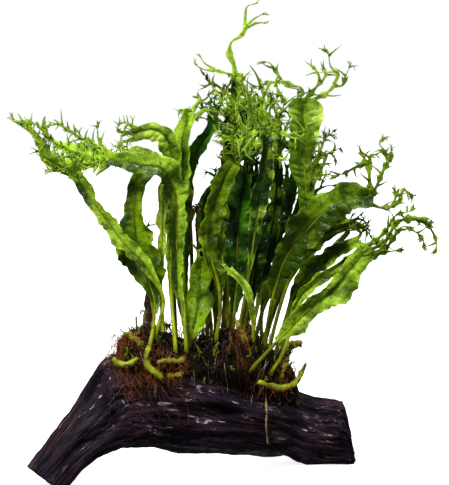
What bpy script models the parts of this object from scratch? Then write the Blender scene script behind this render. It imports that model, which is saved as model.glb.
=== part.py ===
"""A java fern of the lacy-tipped kind, growing on a bent limb of wet driftwood.

Row frame: metres, +X to the right of the front view, +Y away from the viewer, +Z up. The limb
stands on z = 0 and the origin is at the bottom centre of the whole plant's box.

Places are written as they are seen from the front, in millimetres: how far across, how far up,
and how far back. seen() turns them into the row frame.
"""

import math
import random
from dataclasses import dataclass

import bmesh
import bpy
from mathutils import Matrix, Vector
from mathutils.bvhtree import BVHTree

MM = 0.001

# The front view that the places are read in: it looks slightly down, from a little over a metre.
VIEW_TILT = math.radians(10.0)
VIEW_DISTANCE = 1200.0
VIEW_MIDDLE_UP = 111.75
ORIGIN_ACROSS = 0.75
ORIGIN_BACK = 1.3

# Driving dimensions, in millimetres.
TOUCH_GAP = 0.3
FROND_THICKNESS = 0.8
STALK_WIDTH = 2.0
TIP_WIDTH = 1.0
ARM_WIDTH = 2.7
ARM_STEP = 10.0
TWIG_FOOT = 1.8
TWIG_REACH = (4.5, 7.5)
TWIG_SPACING = 13.0
LIMB_STATIONS = 28
LIMB_SIDES = 16
RHIZOME_SIDES = 6
ROOT_STRAND_RADIUS = 0.6

TONES = {
    "bright": ((0.30, 0.52, 0.06, 1.0), 0.35),
    "fresh": ((0.17, 0.38, 0.05, 1.0), 0.35),
    "deep": ((0.05, 0.17, 0.03, 1.0), 0.3),
    "olive": ((0.20, 0.29, 0.04, 1.0), 0.35),
    "withered": ((0.30, 0.19, 0.06, 1.0), 0.6),
    "rhizome": ((0.48, 0.50, 0.08, 1.0), 0.4),
    "roots": ((0.06, 0.035, 0.02, 1.0), 0.7),
    "rusty_roots": ((0.28, 0.10, 0.03, 1.0), 0.6),
    "wood": ((0.035, 0.022, 0.022, 1.0), 0.3),
}

# The share of the full width that a blade has, from its stalk to its crest.
BLADE_SHAPES = {
    "lance": ((0.0, 0.14), (0.2, 0.55), (0.4, 0.88), (0.6, 1.0), (0.8, 0.85), (1.0, 0.5)),
    "broad_top": ((0.0, 0.1), (0.3, 0.3), (0.5, 0.62), (0.68, 0.96), (0.85, 1.0), (1.0, 0.88)),
    "necked": ((0.0, 0.1), (0.15, 0.4), (0.3, 0.85), (0.42, 1.0), (0.6, 0.72), (0.72, 0.42),
               (1.0, 0.36)),
    "strap": ((0.0, 0.2), (0.2, 0.75), (0.5, 1.0), (0.8, 0.95), (1.0, 0.7)),
    "late": ((0.0, 0.12), (0.2, 0.4), (0.5, 0.62), (0.68, 0.85), (0.84, 1.0), (1.0, 0.5)),
}


# Blades whose edges differ: shares of the blade's length, each with the shares of the shape's
# half width that the left and the right edge have there.
EDGES = {
    "left_long": ((0, 0.8, 1), (0.3, 0.75, 1.0), (0.5, 1.0, 1.0), (0.66, 1.1, 0.7), (0.76, 0.85, 0.5),
                  (0.86, 1.15, 0.8), (0.95, 1.3, 1.1), (1, 1.1, 1.1)),
    "left_crested": ((0, 1, 1), (0.72, 1, 1), (0.81, 1.1, 1.2), (0.88, 1.2, 1.0), (0.94, 0.85, 0.8),
                     (1, 0.8, 0.8)),
    "left_broad": ((0, 0.6, 1), (0.2, 0.65, 1.05), (0.36, 0.8, 1.0), (0.5, 1.0, 0.78), (0.64, 0.95, 0.75),
                   (0.8, 1.1, 0.8), (1, 1, 1)),
    "left_bright": ((0, 1, 1), (0.75, 1, 1), (0.85, 1.4, 1.3), (1, 2.0, 2.2)),
    "left_curl": ((0, 1, 1), (0.7, 1, 1), (0.82, 1.15, 1.0), (1, 1.4, 1.1)),
    "left_upright": ((0, 1, 1), (0.75, 1, 1), (0.88, 1.25, 0.9), (1, 0.9, 1.0)),
    "right_quilted": ((0, 1, 1), (0.4, 1.2, 0.6), (0.5, 1.28, 0.45), (0.6, 1.0, 0.42), (0.68, 0.9, 0.62),
                      (0.76, 0.87, 0.9), (0.81, 0.86, 1.12), (0.87, 0.82, 0.98), (0.93, 0.8, 1.1),
                      (1, 0.92, 1.1)),
    "right_low": ((0, 1, 0.6), (0.2, 1.0, 0.6), (0.32, 1.05, 0.62), (0.43, 1.0, 0.95), (0.55, 1.0, 0.8),
                  (0.67, 1.02, 1.05), (0.8, 0.95, 1.0), (1, 1, 1)),
    "right_big": ((0, 1, 1), (0.45, 1.0, 1.0), (0.6, 1.4, 1.0), (0.72, 1.5, 1.0), (0.86, 1.15, 0.95),
                  (1, 1, 1)),
}


@dataclass
class Fan:
    """A crest that opens like a fan: arms of one reach, spread over an angle, that droop."""

    arms: int
    reach: float
    spread: float
    droop: float = 0.25


@dataclass
class Frond:
    """One frond. The route runs from the roots to the blade's end, where the crest's arms start.

    Arms are listed from the blade's left edge to its right one, as it faces the viewer.
    """

    name: str
    tone: str
    width: float
    route: tuple
    crest: object
    blade_from: float = 0.45
    shape: str = "lance"
    facing: tuple = (0.0, 0.0)
    seed: int = 1
    arm_widths: tuple = ()
    bare: bool = False


FRONDS = (
    Frond("left_long", "fresh", 8.4,
          ((-34.5, 60, -23), (-34.2, 66, -29.5), (-31.8, 75, -27.5), (-30.5, 83, -25), (-34, 91.5, -26),
           (-41, 102, -28), (-50.5, 111.5, -31),
           (-58, 122, -33), (-65.5, 131.5, -35), (-71.5, 140.5, -37), (-74.5, 145, -38)),
          (((-77, 148.5, -40), (-81, 151, -41)),
           ((-75.5, 150, -40), (-77, 155, -42)),
           ((-73, 149.5, -40), (-71, 154, -42))),
          blade_from=0.28, shape="strap", facing=(20, -15), seed=11),
    Frond("left_crested", "fresh", 13.5,
          ((-19.2, 54, -21), (-19.2, 60, -27.5), (-20.4, 72, -25), (-22, 84, -22), (-23.5, 93, -21),
           (-24, 113, -22), (-24, 130.5, -23),
           (-26, 143, -26), (-32, 149.5, -29), (-41, 151, -30), (-51, 152.5, -31),
           (-57.5, 153.5, -31)),
          (((-61.5, 154, -31), (-65.5, 154.5, -31.5),
            (((-70, 152, -32), (-75, 150.5, -32),
              (((-83, 150.5, -33), (-89.5, 154, -34), (-93, 161, -36), (-96.5, 168, -36),
                (-99, 172, -35), (-106, 172.5, -34)),
               ((-83, 154, -32), (-88.5, 157.5, -33), (-90, 163, -33)),
               ((-82, 148.5, -33), (-86, 147.5, -33), (-90, 147, -33)))),
             ((-70, 157, -31), (-76, 158.5, -32), (-84, 161, -33), (-89, 165.5, -34),
              (-92.5, 170, -34), (-97, 171.5, -35)))),
           ((-63, 159, -29.5), (-67, 162, -29), (-72, 164, -29), (-77, 167.5, -29), (-83, 171, -30),
            (-89, 169.5, -31)),
           ((-61, 160, -28), (-63, 164, -27), (-63.8, 172.5, -27))),
          blade_from=0.28, shape="late", facing=(-8, 24), seed=12, arm_widths=(6.4, 1.7, 1.3)),
    Frond("left_upright", "fresh", 9.6,
          ((-18, 58, -14), (-19.5, 83, -13), (-20.5, 108, -13), (-20.5, 133, -13),
           (-21.5, 153, -14), (-21.5, 163, -15), (-19.5, 170, -15), (-17, 175, -15)),
          (((-19, 178, -16), (-23.5, 177, -18)),
           ((-14, 181, -14), (-9, 184, -15), (-5, 189, -16)),
           ((-10, 178, -14), (-4, 177, -15), (2, 175, -16))),
          blade_from=0.4, shape="strap", facing=(10, -25), seed=13),
    Frond("left_curl", "bright", 10.0,
          ((-24.5, 54, -26), (-24.6, 60, -31.5), (-25.5, 70, -28), (-26.5, 83, -21), (-27, 95, -18),
           (-27, 108, -17), (-27, 133, -17),
           (-26.5, 150.5, -18), (-27.3, 159.4, -20), (-31, 166, -22), (-37, 168, -23),
           (-44.5, 166.2, -24)),
          (((-49, 162.5, -26), (-53, 160.5, -27)),
           ((-50, 167, -26), (-53.5, 167.5, -27), (-52, 173, -26)),
           ((-48, 171, -24), (-51.5, 172, -22))),
          blade_from=0.33, shape="late", facing=(25, -20), seed=14),
    Frond("left_bright", "bright", 5.6,
          ((-29.5, 54, -11), (-31, 73, -10), (-32, 93, -10), (-31.2, 113, -10),
           (-30.5, 133, -11), (-30, 143, -12), (-32, 151, -14), (-38, 155, -17),
           (-46, 156.5, -19)),
          (((-52, 153.5, -20), (-57, 154.5, -21)),
           ((-50.5, 157.5, -20), (-54.5, 160.5, -20))),
          blade_from=0.34, shape="strap", facing=(-20, 15), seed=15),
    Frond("left_broad", "olive", 17.0,
          ((-37.8, 56, -30), (-37.2, 61, -34.5), (-35.6, 70, -30), (-35.2, 83, -22), (-38, 92.5, -19),
           (-41, 102, -19), (-44, 113, -19),
           (-45, 125.5, -19), (-44.5, 134, -19), (-42.5, 142, -17), (-39.5, 147, -15)),
          (((-42, 153, -12), (-46, 159, -10)),
           ((-38, 152, -10), (-36, 157, -8))),
          blade_from=0.31, shape="necked", facing=(10, -10), seed=16),
    Frond("olive_young", "olive", 12.6,
          ((-18, 58, -18), (-17.2, 64, -22), (-14.5, 72.5, -21), (-12.6, 83, -18), (-12, 95.5, -17),
           (-11, 103, -17)),
          (((-13.5, 107, -17), (-15, 110, -17)),
           ((-8.5, 107, -17), (-6.5, 110, -16.5))),
          blade_from=0.27, shape="strap", facing=(5, 12), seed=17),
    Frond("olive_rear", "olive", 8.0,
          ((-16.5, 58, -3), (-18.5, 73, -1), (-20, 88, 1), (-20.5, 101, 2), (-20.5, 114, 3)),
          Fan(2, 7, 40),
          blade_from=0.25, facing=(-60, -45), seed=18),
    Frond("withered", "withered", 3.2,
          ((-10.5, 60, -9), (-11.5, 83, -10), (-13, 106, -11), (-13.5, 118, -12),
           (-13.5, 127, -12)),
          Fan(2, 6, 40),
          blade_from=0.55, facing=(30, 60), seed=19),
    Frond("dark_wing", "deep", 8.0,
          ((-14.5, 57, -9), (-16, 83, -8), (-16.5, 108, -7), (-17.5, 133, -6), (-17.5, 150, -6),
           (-13.5, 158.8, -7), (-8.8, 165, -8), (-5.2, 172, -8)),
          (((-7.5, 177.5, -9), (-12, 178, -10)),
           ((-3, 178, -9), (-1, 184, -10)),
           ((0, 169, -8), (3.5, 167, -9))),
          blade_from=0.6, facing=(-30, 0), seed=20),
    Frond("mid_toothed", "deep", 8.6,
          ((-6, 61, -5), (-8, 85.5, -3), (-10, 105.5, -2), (-11, 122, -1), (-9, 133, 0),
           (-5, 140.5, 1)),
          (((-4.5, 145.5, 2), (-4.8, 149, 3)),
           ((-2, 146, 2), (0, 152, 3), (-1, 158, 4))),
          blade_from=0.45, facing=(15, 30), seed=21),
    Frond("mid_olive", "olive", 11.0,
          ((-4.2, 60, -17), (-3.8, 66, -21.5), (-2.2, 78, -19.5), (-3, 90.5, -18), (-6.2, 103, -19.5),
           (-7.5, 114, -20.5),
           (-6, 125.5, -21), (-3, 135.5, -22), (0.5, 145, -23), (3.5, 150, -24)),
          (((0, 156, -26), (-1, 163, -27)),
           ((4, 158, -25), (4.5, 166, -27), (6, 175, -29)),
           ((9, 155, -24), (14, 156, -25))),
          blade_from=0.54, shape="strap", facing=(25, 10), seed=22),
    Frond("mid_dark", "deep", 9.6,
          ((3, 57, -11), (5, 78, -11), (6.5, 93, -12), (6.5, 108, -13), (7, 123, -14),
           (8.5, 135.5, -15), (10, 145, -16)),
          (((7, 151, -17), (5, 156, -19)),
           ((10, 153, -18), (10, 160, -20)),
           ((14, 150, -17), (17, 154, -19))),
          blade_from=0.36, shape="strap", facing=(0, -15), seed=23),
    Frond("mid_low", "olive", 8.0,
          ((-4.5, 60, 3), (-4.5, 78, 3), (-3.5, 95, 2), (-2, 110, 2), (-0.5, 121, 2)),
          Fan(2, 8, 40),
          blade_from=0.42, facing=(-10, 10), seed=47),
    Frond("mid_ridged", "deep", 9.0,
          ((8, 58, -4), (11.5, 80.5, -5), (15, 100.5, -6), (16.5, 118, -7), (16.5, 133, -8),
           (16, 144, -9)),
          (((12.5, 151, -7), (11, 158, -6)),
           ((16, 152, -7), (16, 160, -6)),
           ((20, 150, -8), (24, 155, -8))),
          blade_from=0.48, shape="strap", facing=(15, 5), seed=24),
    Frond("tall_tendril", "bright", 5.0,
          ((-0.5, 60, -3), (1.5, 83, -2), (3, 108, -1), (4.5, 133, 0), (5.8, 158, 1), (6.2, 178, 1),
           (5.5, 188, 0), (5.6, 195, 0)),
          (((2, 196, -2), (-5, 198, -3),
            (((-11, 198.5, -4), (-15.5, 201.5, -5)),
             ((-10, 201.5, -3), (-13, 206.5, -3)))),
           ((4.5, 201, -1), (2.5, 206, -2), (3.5, 212, -2), (8, 215, -1), (11, 220, 0),
            (((10.5, 226, 1), (11.5, 230, 1), (17, 231.5, 2)),
             ((14.5, 223.5, 0), (21, 227, 0)),
             ((16, 221.5, -1), (21.5, 221.5, -2)))),
           ((9, 193, 0), (11.5, 196.5, 1))),
          blade_from=0.66, facing=(20, 0), seed=25, arm_widths=(2.0, 2.4, 4.2), bare=True),
    Frond("crown_left", "fresh", 7.6,
          ((-1.5, 60, 5), (0, 83, 6), (1.5, 110, 7.5), (2.8, 133, 8), (4, 150, 8),
           (5.5, 162, 8), (6.8, 171, 8)),
          (((3, 176, 6), (-3, 178, 5), (-9, 178.5, 4), (-12, 181.5, 4), (-13, 185, 4)),
           ((4, 182, 7), (-1, 188, 6), (-5, 191, 5), (-8.5, 192.5, 5), (-10.5, 197, 5)),
           ((9, 180, 8), (11.5, 184, 9), (8, 187, 9), (2, 187.5, 8), (-4, 185.5, 6), (-8, 181, 5)),
           ((13, 176, 8), (18, 173, 7))),
          blade_from=0.5, facing=(-35, -10), seed=26, arm_widths=(3.2, 2.8, 4.2, 2.6)),
    Frond("crown_mid", "bright", 7.0,
          ((6, 61, -8), (10, 83, -15), (14, 108, -18), (17, 130, -19), (20.5, 147, -20),
           (21.5, 158, -20), (22, 165, -20)),
          (((17, 168, -22), (11, 165, -24), (7, 162, -26)),
           ((18.5, 173, -22), (15, 180, -24), (12, 186, -26)),
           ((20.5, 176, -22), (20, 184, -23), (17.5, 189.5, -24)),
           ((22.5, 176, -21), (24, 182, -22), (27, 186, -23)),
           ((26.5, 172, -22), (29, 178, -24), (30.5, 184, -27)),
           ((29, 166.5, -23), (34, 164, -28), (40, 164, -30))),
          blade_from=0.5, facing=(-15, 15), seed=27),
    Frond("crown_lace", "fresh", 7.0,
          ((0.5, 61, -6), (3.5, 83, -7), (8, 108, -9), (10, 130, -11), (11.5, 146, -12),
           (12, 156, -12)),
          (((8, 161, -13), (2, 163, -14), (-3, 161, -15)),
           ((10, 167, -12), (6, 174, -12),
            (((1, 178, -13), (-2, 182, -14)), ((6, 182, -11), (8, 188, -12)))),
           ((12.2, 168, -11.5), (12.6, 178, -12), (12.5, 187, -13)),
           ((14, 167, -11), (16, 177, -11), (18.5, 185, -12)),
           ((17, 161, -12), (23, 157, -13), (26, 153, -14))),
          blade_from=0.45, facing=(10, 10), seed=48),
    Frond("crown_dark", "deep", 8.0,
          ((-8.5, 60, 5), (-8.5, 83, 9), (-6, 110, 12), (-2, 135, 13), (1.5, 153, 13),
           (4, 165, 12)),
          (((-2, 172, 11), (-6, 176, 10), (-9, 180, 8)),
           ((4, 175, 11), (4, 183, 10)),
           ((9, 172, 12), (13, 178, 12), (17, 181, 11))),
          blade_from=0.4, facing=(-10, 20), seed=49),
    Frond("crown_rear", "fresh", 8.6,
          ((10, 60, 3), (13, 78, 4), (19, 98, 5), (23.5, 118, 5), (26, 135, 4), (26, 150, 3),
           (27, 160, 2)),
          (((22, 168, 1), (17, 176, 0), (13, 177, -1)),
           ((26, 171, 1), (25, 181, 0)),
           ((31, 170, 1), (35, 178, 0)),
           ((33, 162, 1), (37, 158, 0))),
          blade_from=0.35, facing=(10, -20), seed=28),
    Frond("dark_lean", "deep", 11.0,
          ((6.5, 62, 4), (12.5, 83, 8), (19, 100.5, 11), (25, 115.5, 13), (30, 130.5, 15),
           (33.5, 142, 16)),
          (((31, 149, 16), (28, 156, 16)),
           ((35, 151, 17), (37, 160, 17)),
           ((39.5, 147, 17), (43, 151, 17))),
          blade_from=0.42, facing=(-25, -5), seed=29),
    Frond("dark_right", "deep", 8.0,
          ((14, 57, 3), (20.5, 83, 2), (29, 102, 1), (35, 118, 0), (40, 133, 0), (43, 144, 1)),
          (((42.5, 151, 2), (45, 158, 2), (46.5, 165, 2)),
           ((46, 152, 0), (48.5, 159, 1), (50.5, 164, 2), (56, 168, 0)),
           ((49, 150, 0), (51.5, 156, -1), (58, 159, -2))),
          blade_from=0.42, facing=(15, 10), seed=30, arm_widths=(2.7, 4.0, 3.4)),
    Frond("right_quilted", "bright", 17.6,
          ((17.5, 55, -5), (24, 78, -8), (31, 98, -12), (37, 118, -16), (40.6, 134, -19),
           (40.0, 150.5, -21), (39.4, 166, -22), (39.4, 182.5, -22)),
          (((38.5, 188.5, -20), (33, 190.5, -18), (28, 192.5, -17),
            (((22, 191.5, -17), (15, 189, -18), (10.5, 184, -19)),
             ((26, 197, -17), (22.5, 201.5, -18), (17.5, 202, -18)))),
           ((45, 188.5, -20), (48, 192, -19),
            (((46.5, 197, -19), (42, 201.5, -18)),
             ((50.5, 196, -18), (48.5, 201, -17)))),
           ((51, 186.5, -22), (55, 190.5, -22),
            (((56.5, 195.5, -21), (53, 200, -20), (51.5, 207, -20), (47, 209, -20)),
             ((59, 190.5, -23), (61, 196, -23), (63.8, 202, -22))))),
          blade_from=0.52, shape="broad_top", facing=(-5, 5), seed=31),
    Frond("right_big", "olive", 15.5,
          ((19.5, 55, -9), (22, 73, -12), (25, 88, -15), (31, 104, -20), (39, 115, -24),
           (47, 124, -27), (55, 130.5, -29), (64, 134, -31), (73, 134, -32)),
          (((72.5, 143, -31), (72, 151, -30),
            (((67, 150, -30), (59, 146, -29), (52, 143.5, -28)),
             ((69, 155, -29), (67.8, 158.5, -29)),
             ((73, 155, -31), (77, 156, -31)))),
           ((76, 140, -32), (79, 147, -32), (82, 152.5, -32),
            (((79.5, 158, -30), (77.5, 161.5, -29), (81.5, 165, -28)),
             ((83.5, 154, -33), (83.5, 159, -33)))),
           ((79, 129, -33), (84, 130, -34),
            (((85.5, 134.5, -33), (84.8, 139, -33)),
             ((88, 133, -35), (89, 138, -34), (92.5, 136.5, -33), (95, 132, -32))))),
          blade_from=0.36, shape="strap", facing=(12, -12), seed=32),
    Frond("right_low", "fresh", 16.0,
          ((12.5, 46, -20), (14.5, 49.5, -26), (20, 55.5, -26), (26, 62, -24), (32, 68, -24.5),
           (38.5, 75, -26),
           (46.5, 82, -30), (55, 89.5, -33), (62.5, 98, -35), (69.5, 105.5, -36)),
          (((76, 113, -36), (82.5, 120, -36), (86, 125.5, -36), (93, 127.5, -35),
            (95, 132, -34)),
           ((80, 112, -37), (86, 121.5, -38), (94, 124, -37),
            (((101, 121, -36), (105.4, 114, -35), (105.6, 108, -34), (103.5, 104.5, -34)),
             ((102, 123.5, -37), (104, 121, -37)))),
           ((81, 109.5, -38), (88, 119, -40), (93, 118.5, -40), (99, 113.5, -39),
            (100, 107, -38)),
           ((78, 106.5, -37), (85, 107.5, -38), (90, 108, -39))),
          blade_from=0.35, shape="strap", facing=(-10, 20), seed=33),
    Frond("right_upper_mid", "olive", 7.0,
          ((21.5, 55, 2), (27, 77, 2), (33, 94.5, 1), (41, 108, -3), (49, 114.5, -7),
           (57.5, 119, -11), (64, 121, -14)),
          Fan(2, 11, 70),
          blade_from=0.48, facing=(0, 20), seed=34),
    Frond("right_lower_mid", "fresh", 9.0,
          ((24.5, 51, -1), (30, 72, -4), (35.5, 87, -7), (43.5, 98.5, -11), (52, 105, -15),
           (60, 109, -19), (66, 112, -22)),
          Fan(2, 11, 70),
          blade_from=0.42, facing=(10, -15), seed=35),
    Frond("right_low_thin", "fresh", 6.0,
          ((22.5, 44.5, -15), (24, 48, -20.5), (28.5, 55, -18), (31.5, 63, -14), (34, 75, -13),
           (38, 84.5, -17), (45.5, 91.5, -21),
           (53, 97, -24), (61, 102.5, -27)),
          Fan(2, 9, 50),
          blade_from=0.43, facing=(-15, 10), seed=36),
    Frond("right_behind", "fresh", 9.0,
          ((27, 52, 8), (32, 73, 9), (37, 92, 9), (43.5, 108, 8), (51, 117, 6), (60, 123, 4)),
          Fan(2, 14, 90),
          blade_from=0.4, facing=(45, 30), seed=37),
    Frond("mid_arched", "bright", 4.6,
          ((14.5, 55, -13), (14.3, 72, -17), (12.5, 83, -20), (9, 92, -21), (3.5, 97, -22)),
          Fan(2, 6, 40),
          blade_from=0.3, shape="strap", facing=(15, 20), seed=38),
    Frond("pale_left", "bright", 4.2,
          ((15, 56, 9), (14, 75, 12), (12, 90, 15), (11, 100, 18), (12, 110, 21)),
          Fan(2, 8, 50),
          blade_from=0.3, facing=(-40, -40), seed=39),
    Frond("pale_right", "bright", 4.2,
          ((19, 55, 7), (18.5, 72, 9), (19.5, 85, 12), (22.5, 95, 15), (26, 103, 18)),
          Fan(2, 8, 50),
          blade_from=0.3, facing=(35, 20), seed=40),
    Frond("rear_left", "fresh", 9.0,
          ((-24, 57, -4), (-25, 83, 0), (-26, 108, 6), (-26, 128, 13), (-25, 144, 20)),
          Fan(2, 20, 90),
          blade_from=0.35, facing=(55, 70), seed=41),
    Frond("rear_mid", "deep", 10.0,
          ((3, 60, 8), (4, 83, 13), (5, 106, 19), (7, 126, 26), (9, 143, 33)),
          Fan(2, 20, 90),
          blade_from=0.35, facing=(-50, -65), seed=42),
    Frond("rear_centre", "fresh", 10.0,
          ((12, 57, 11), (16, 78, 17), (20, 98, 23), (24, 115, 30), (27, 129, 37)),
          Fan(2, 20, 90),
          blade_from=0.35, facing=(40, 55), seed=43),
    Frond("rear_right", "deep", 10.0,
          ((18, 54, 12), (25, 78, 17), (32, 98, 23), (37.5, 116, 28), (41, 134, 33)),
          Fan(2, 18, 90),
          blade_from=0.35, facing=(-55, -35), seed=44),
    Frond("rear_far_right", "fresh", 9.0,
          ((24, 53, 11), (33, 76, 14), (43, 94, 18), (53, 107, 23), (61, 117, 28)),
          Fan(2, 17, 90),
          blade_from=0.35, facing=(45, 60), seed=45),
    Frond("rear_low_left", "olive", 7.0,
          ((-32, 56, -3), (-36, 74, 3), (-39, 90, 10), (-41, 104, 17), (-41, 116, 24)),
          Fan(2, 14, 70),
          blade_from=0.35, facing=(60, 70), seed=46),
)

# Driftwood limb: its upper and lower outline as seen, its middle's depth and half its thickness
# from front to back, from the cut end of the leg on the left to the broken end on the right.
LIMB = (
    ((-98.2, -0.8), (-81.0, -13.5), -41.0, 9.5),
    ((-91.2, 8.5), (-73.7, -4.5), -38.0, 10.5),
    ((-83.7, 18.7), (-65.9, 2.9), -35.0, 11.0),
    ((-77.4, 26.2), (-59.4, 6.8), -32.0, 12.0),
    ((-72.7, 33.0), (-52.0, 9.2), -29.0, 13.0),
    ((-67.7, 41.7), (-44.2, 10.0), -26.0, 14.5),
    ((-63.2, 50.0), (-37.2, 10.0), -23.0, 16.0),
    ((-57.2, 54.0), (-30.2, 8.6), -20.0, 17.0),
    ((-49.2, 56.2), (-23.2, 6.6), -17.5, 18.0),
    ((-38.2, 56.0), (-16.2, 7.1), -15.0, 18.5),
    ((-25.7, 54.0), (-8.2, 7.1), -12.0, 19.0),
    ((-13.2, 51.0), (0.7, 6.8), -8.5, 19.0),
    ((-0.7, 48.0), (9.7, 6.2), -5.0, 18.5),
    ((11.7, 44.5), (18.7, 5.5), -1.5, 18.0),
    ((22.7, 41.0), (25.7, 5.7), 1.5, 17.0),
    ((30.7, 38.0), (30.7, 5.2), 4.5, 16.5),
    ((36.7, 36.3), (35.2, 3.0), 7.0, 16.5),
    ((43.2, 33.9), (40.7, 0.5), 9.5, 17.0),
    ((50.2, 32.7), (48.7, -0.4), 11.5, 17.0),
    ((57.2, 31.7), (56.7, -1.2), 13.0, 16.5),
    ((59.4, 30.8), (62.6, -1.8), 14.0, 16.0),
    ((63.0, 22.0), (65.4, -2.2), 14.5, 14.5),
)

# The dark slot in the limb's face: its middle as seen, half its length and height, its depth.
HOLLOW = ((-2.0, 28.0), 12.0, 3.0, 4.5)

# The root mat over the limb: shares of the limb's length where it starts and ends, its height
# above the bark along it, and how far round the top it reaches, behind and in front.
MAT_SPAN = (0.357, 0.765)
MAT_HEIGHTS = ((0.0, 0.6), (0.05, 3.0), (0.12, 10.0), (0.28, 14.0), (0.36, 9.0), (0.45, 10.0),
               (0.52, 16.0), (0.58, 24.0), (0.68, 25.0), (0.76, 17.0), (0.9, 13.0), (1.0, 2.0))
MAT_BEHIND = math.radians(62)
MAT_FRONT = math.radians(58)

# The roots that hang over the limb's face below the mat's left end. Each finger has the shares
# of the limb's length where its root and its tip are, and how far round the tip hangs.
TUFT_TOP = math.radians(61)
TUFT_SPAN = (0.33, 0.445)
TUFT_FINGERS = ((0.315, 103), (0.35, 92), (0.375, 112), (0.4, 98), (0.43, 108))

# Round pieces: places as seen, and radii. The free ones keep the depth that they are given.
SPUR = (((-39.5, 66, -3), (-38.3, 73, -3), (-38.0, 80, -2), (-38.4, 84.5, -2), (-37.6, 89, -1)),
        (3.0, 2.7, 2.0, 1.7, 0.8))
CROZIERS = {
    "left": (((-43.8, 60, -22), (-43.8, 66, -21.5), (-44.2, 74.8, -21)), (0.8, 0.6, 0.45)),
    "right": (((-40.0, 64, -12), (-40.6, 70, -13), (-39.8, 75, -14), (-40.4, 77.6, -14),
               (-42.0, 77.2, -14), (-41.6, 75.9, -14)), (0.8, 0.7, 0.6, 0.6, 0.5, 0.4)),
}

# Creeping stems that cling to the mat or the limb: places as seen, and radii. A place with
# nothing behind it takes the depth of the place before it.
RHIZOMES = {
    "left": (((-43.2, 54), (-47, 50.8), (-51.2, 50.2), (-55.2, 53.5)), (1.3, 1.9, 2.0, 1.2)),
    "left_front": (((-31.5, 44), (-34.7, 46.5), (-38.2, 49.5), (-39.4, 54), (-37.4, 60)),
                   (1.5, 1.8, 1.8, 1.6, 1.3)),
    "left_upper": (((-40.5, 60.5), (-44, 62.5), (-47.5, 66), (-50.2, 65)), (1.2, 1.6, 1.8, 1.1)),
    "left_top": (((-35, 69), (-31, 70.5), (-27, 70)), (1.1, 1.5, 1.1)),
    "middle": (((-20.2, 54), (-23.5, 51.8), (-28.2, 53), (-33.2, 51)), (1.1, 1.6, 1.7, 1.2)),
    "middle_low": (((-28.2, 45.5), (-24.6, 44.8), (-21, 47)), (1.1, 1.5, 1.1)),
    "middle_upper": (((10.8, 62), (8.4, 67.5), (5.4, 72.5)), (1.6, 1.5, 1.0)),
    "right_front": (((17, 42), (23, 40), (29.2, 38.8), (34.5, 41), (38.2, 46), (40.8, 51.5)),
                    (1.2, 1.7, 1.9, 1.8, 1.3, 0.7)),
    "right_knob": (((27.8, 44), (29.8, 48), (31.1, 52.5), (31.3, 57.5), (34, 61), (38.8, 60.6)),
                   (1.0, 1.3, 1.5, 1.9, 2.6, 1.7)),
}
ROOT_STRAND = ((20.6, 34), (21, 27), (20.8, 19), (21.6, 11))

def seen(across, up, back):
    """The point in the row frame that is seen at this place, at this depth."""
    cos, sin = math.cos(VIEW_TILT), math.sin(VIEW_TILT)
    above = up - VIEW_MIDDLE_UP
    middle_z = VIEW_MIDDLE_UP / (cos - VIEW_MIDDLE_UP * sin / VIEW_DISTANCE)
    rise = above * (1 + back * cos / VIEW_DISTANCE) - back * sin
    z = rise / (cos + above * sin / VIEW_DISTANCE)
    scale = (VIEW_DISTANCE + back * cos - z * sin) / VIEW_DISTANCE
    return Vector((across * scale - ORIGIN_ACROSS, back - ORIGIN_BACK, z + middle_z)) * MM


VIEW_DIRECTION = Vector((0, math.cos(VIEW_TILT), -math.sin(VIEW_TILT)))


def interpolate(pairs, share):
    """The value at this share of a list of (share, value) pairs."""
    for (low, first), (high, second) in zip(pairs, pairs[1:]):
        if share <= high:
            blend = (share - low) / (high - low)
            return first + (second - first) * blend
    return pairs[-1][1]


def spline(points, share):
    """A point on the smooth curve through all the points."""
    place = min(max(share, 0.0), 1.0) * (len(points) - 1)
    index = min(int(place), len(points) - 2)
    t = place - index
    p1, p2 = points[index], points[index + 1]
    p0 = points[index - 1] if index else p1 * 2 - p2
    p3 = points[index + 2] if index + 2 < len(points) else p2 * 2 - p1
    bend = (p0 - p1 * 2.5 + p2 * 2 - p3 * 0.5) * t * t + (p1 * 1.5 - p0 * 0.5 - p2 * 1.5 + p3 * 0.5) * t**3
    return p1 + (p2 - p0) * 0.5 * t + bend


class Route:
    """A smooth curve with even steps along its length."""

    STEPS = 160

    def __init__(self, points):
        self.fine = [spline(points, step / self.STEPS) for step in range(self.STEPS + 1)]
        self.reach = [0.0]
        for a, b in zip(self.fine, self.fine[1:]):
            self.reach.append(self.reach[-1] + (b - a).length)
        self.length = self.reach[-1]

    def at(self, share):
        wanted = min(max(share, 0.0), 1.0) * self.length
        index = next((i for i, reach in enumerate(self.reach[1:]) if reach >= wanted), self.STEPS - 1)
        step = self.reach[index + 1] - self.reach[index]
        return self.fine[index].lerp(self.fine[index + 1], (wanted - self.reach[index]) / step)

    def direction(self, share):
        return (self.at(min(share + 0.01, 1.0)) - self.at(max(share - 0.01, 0.0))).normalized()


def side_and_face(direction, turn):
    """The sideways vector and the facing one of a blade that runs this way, turned by an angle."""
    side = VIEW_DIRECTION.cross(direction).normalized()
    side.rotate(Matrix.Rotation(turn, 3, direction))
    return side, side.cross(direction).normalized()


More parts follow.
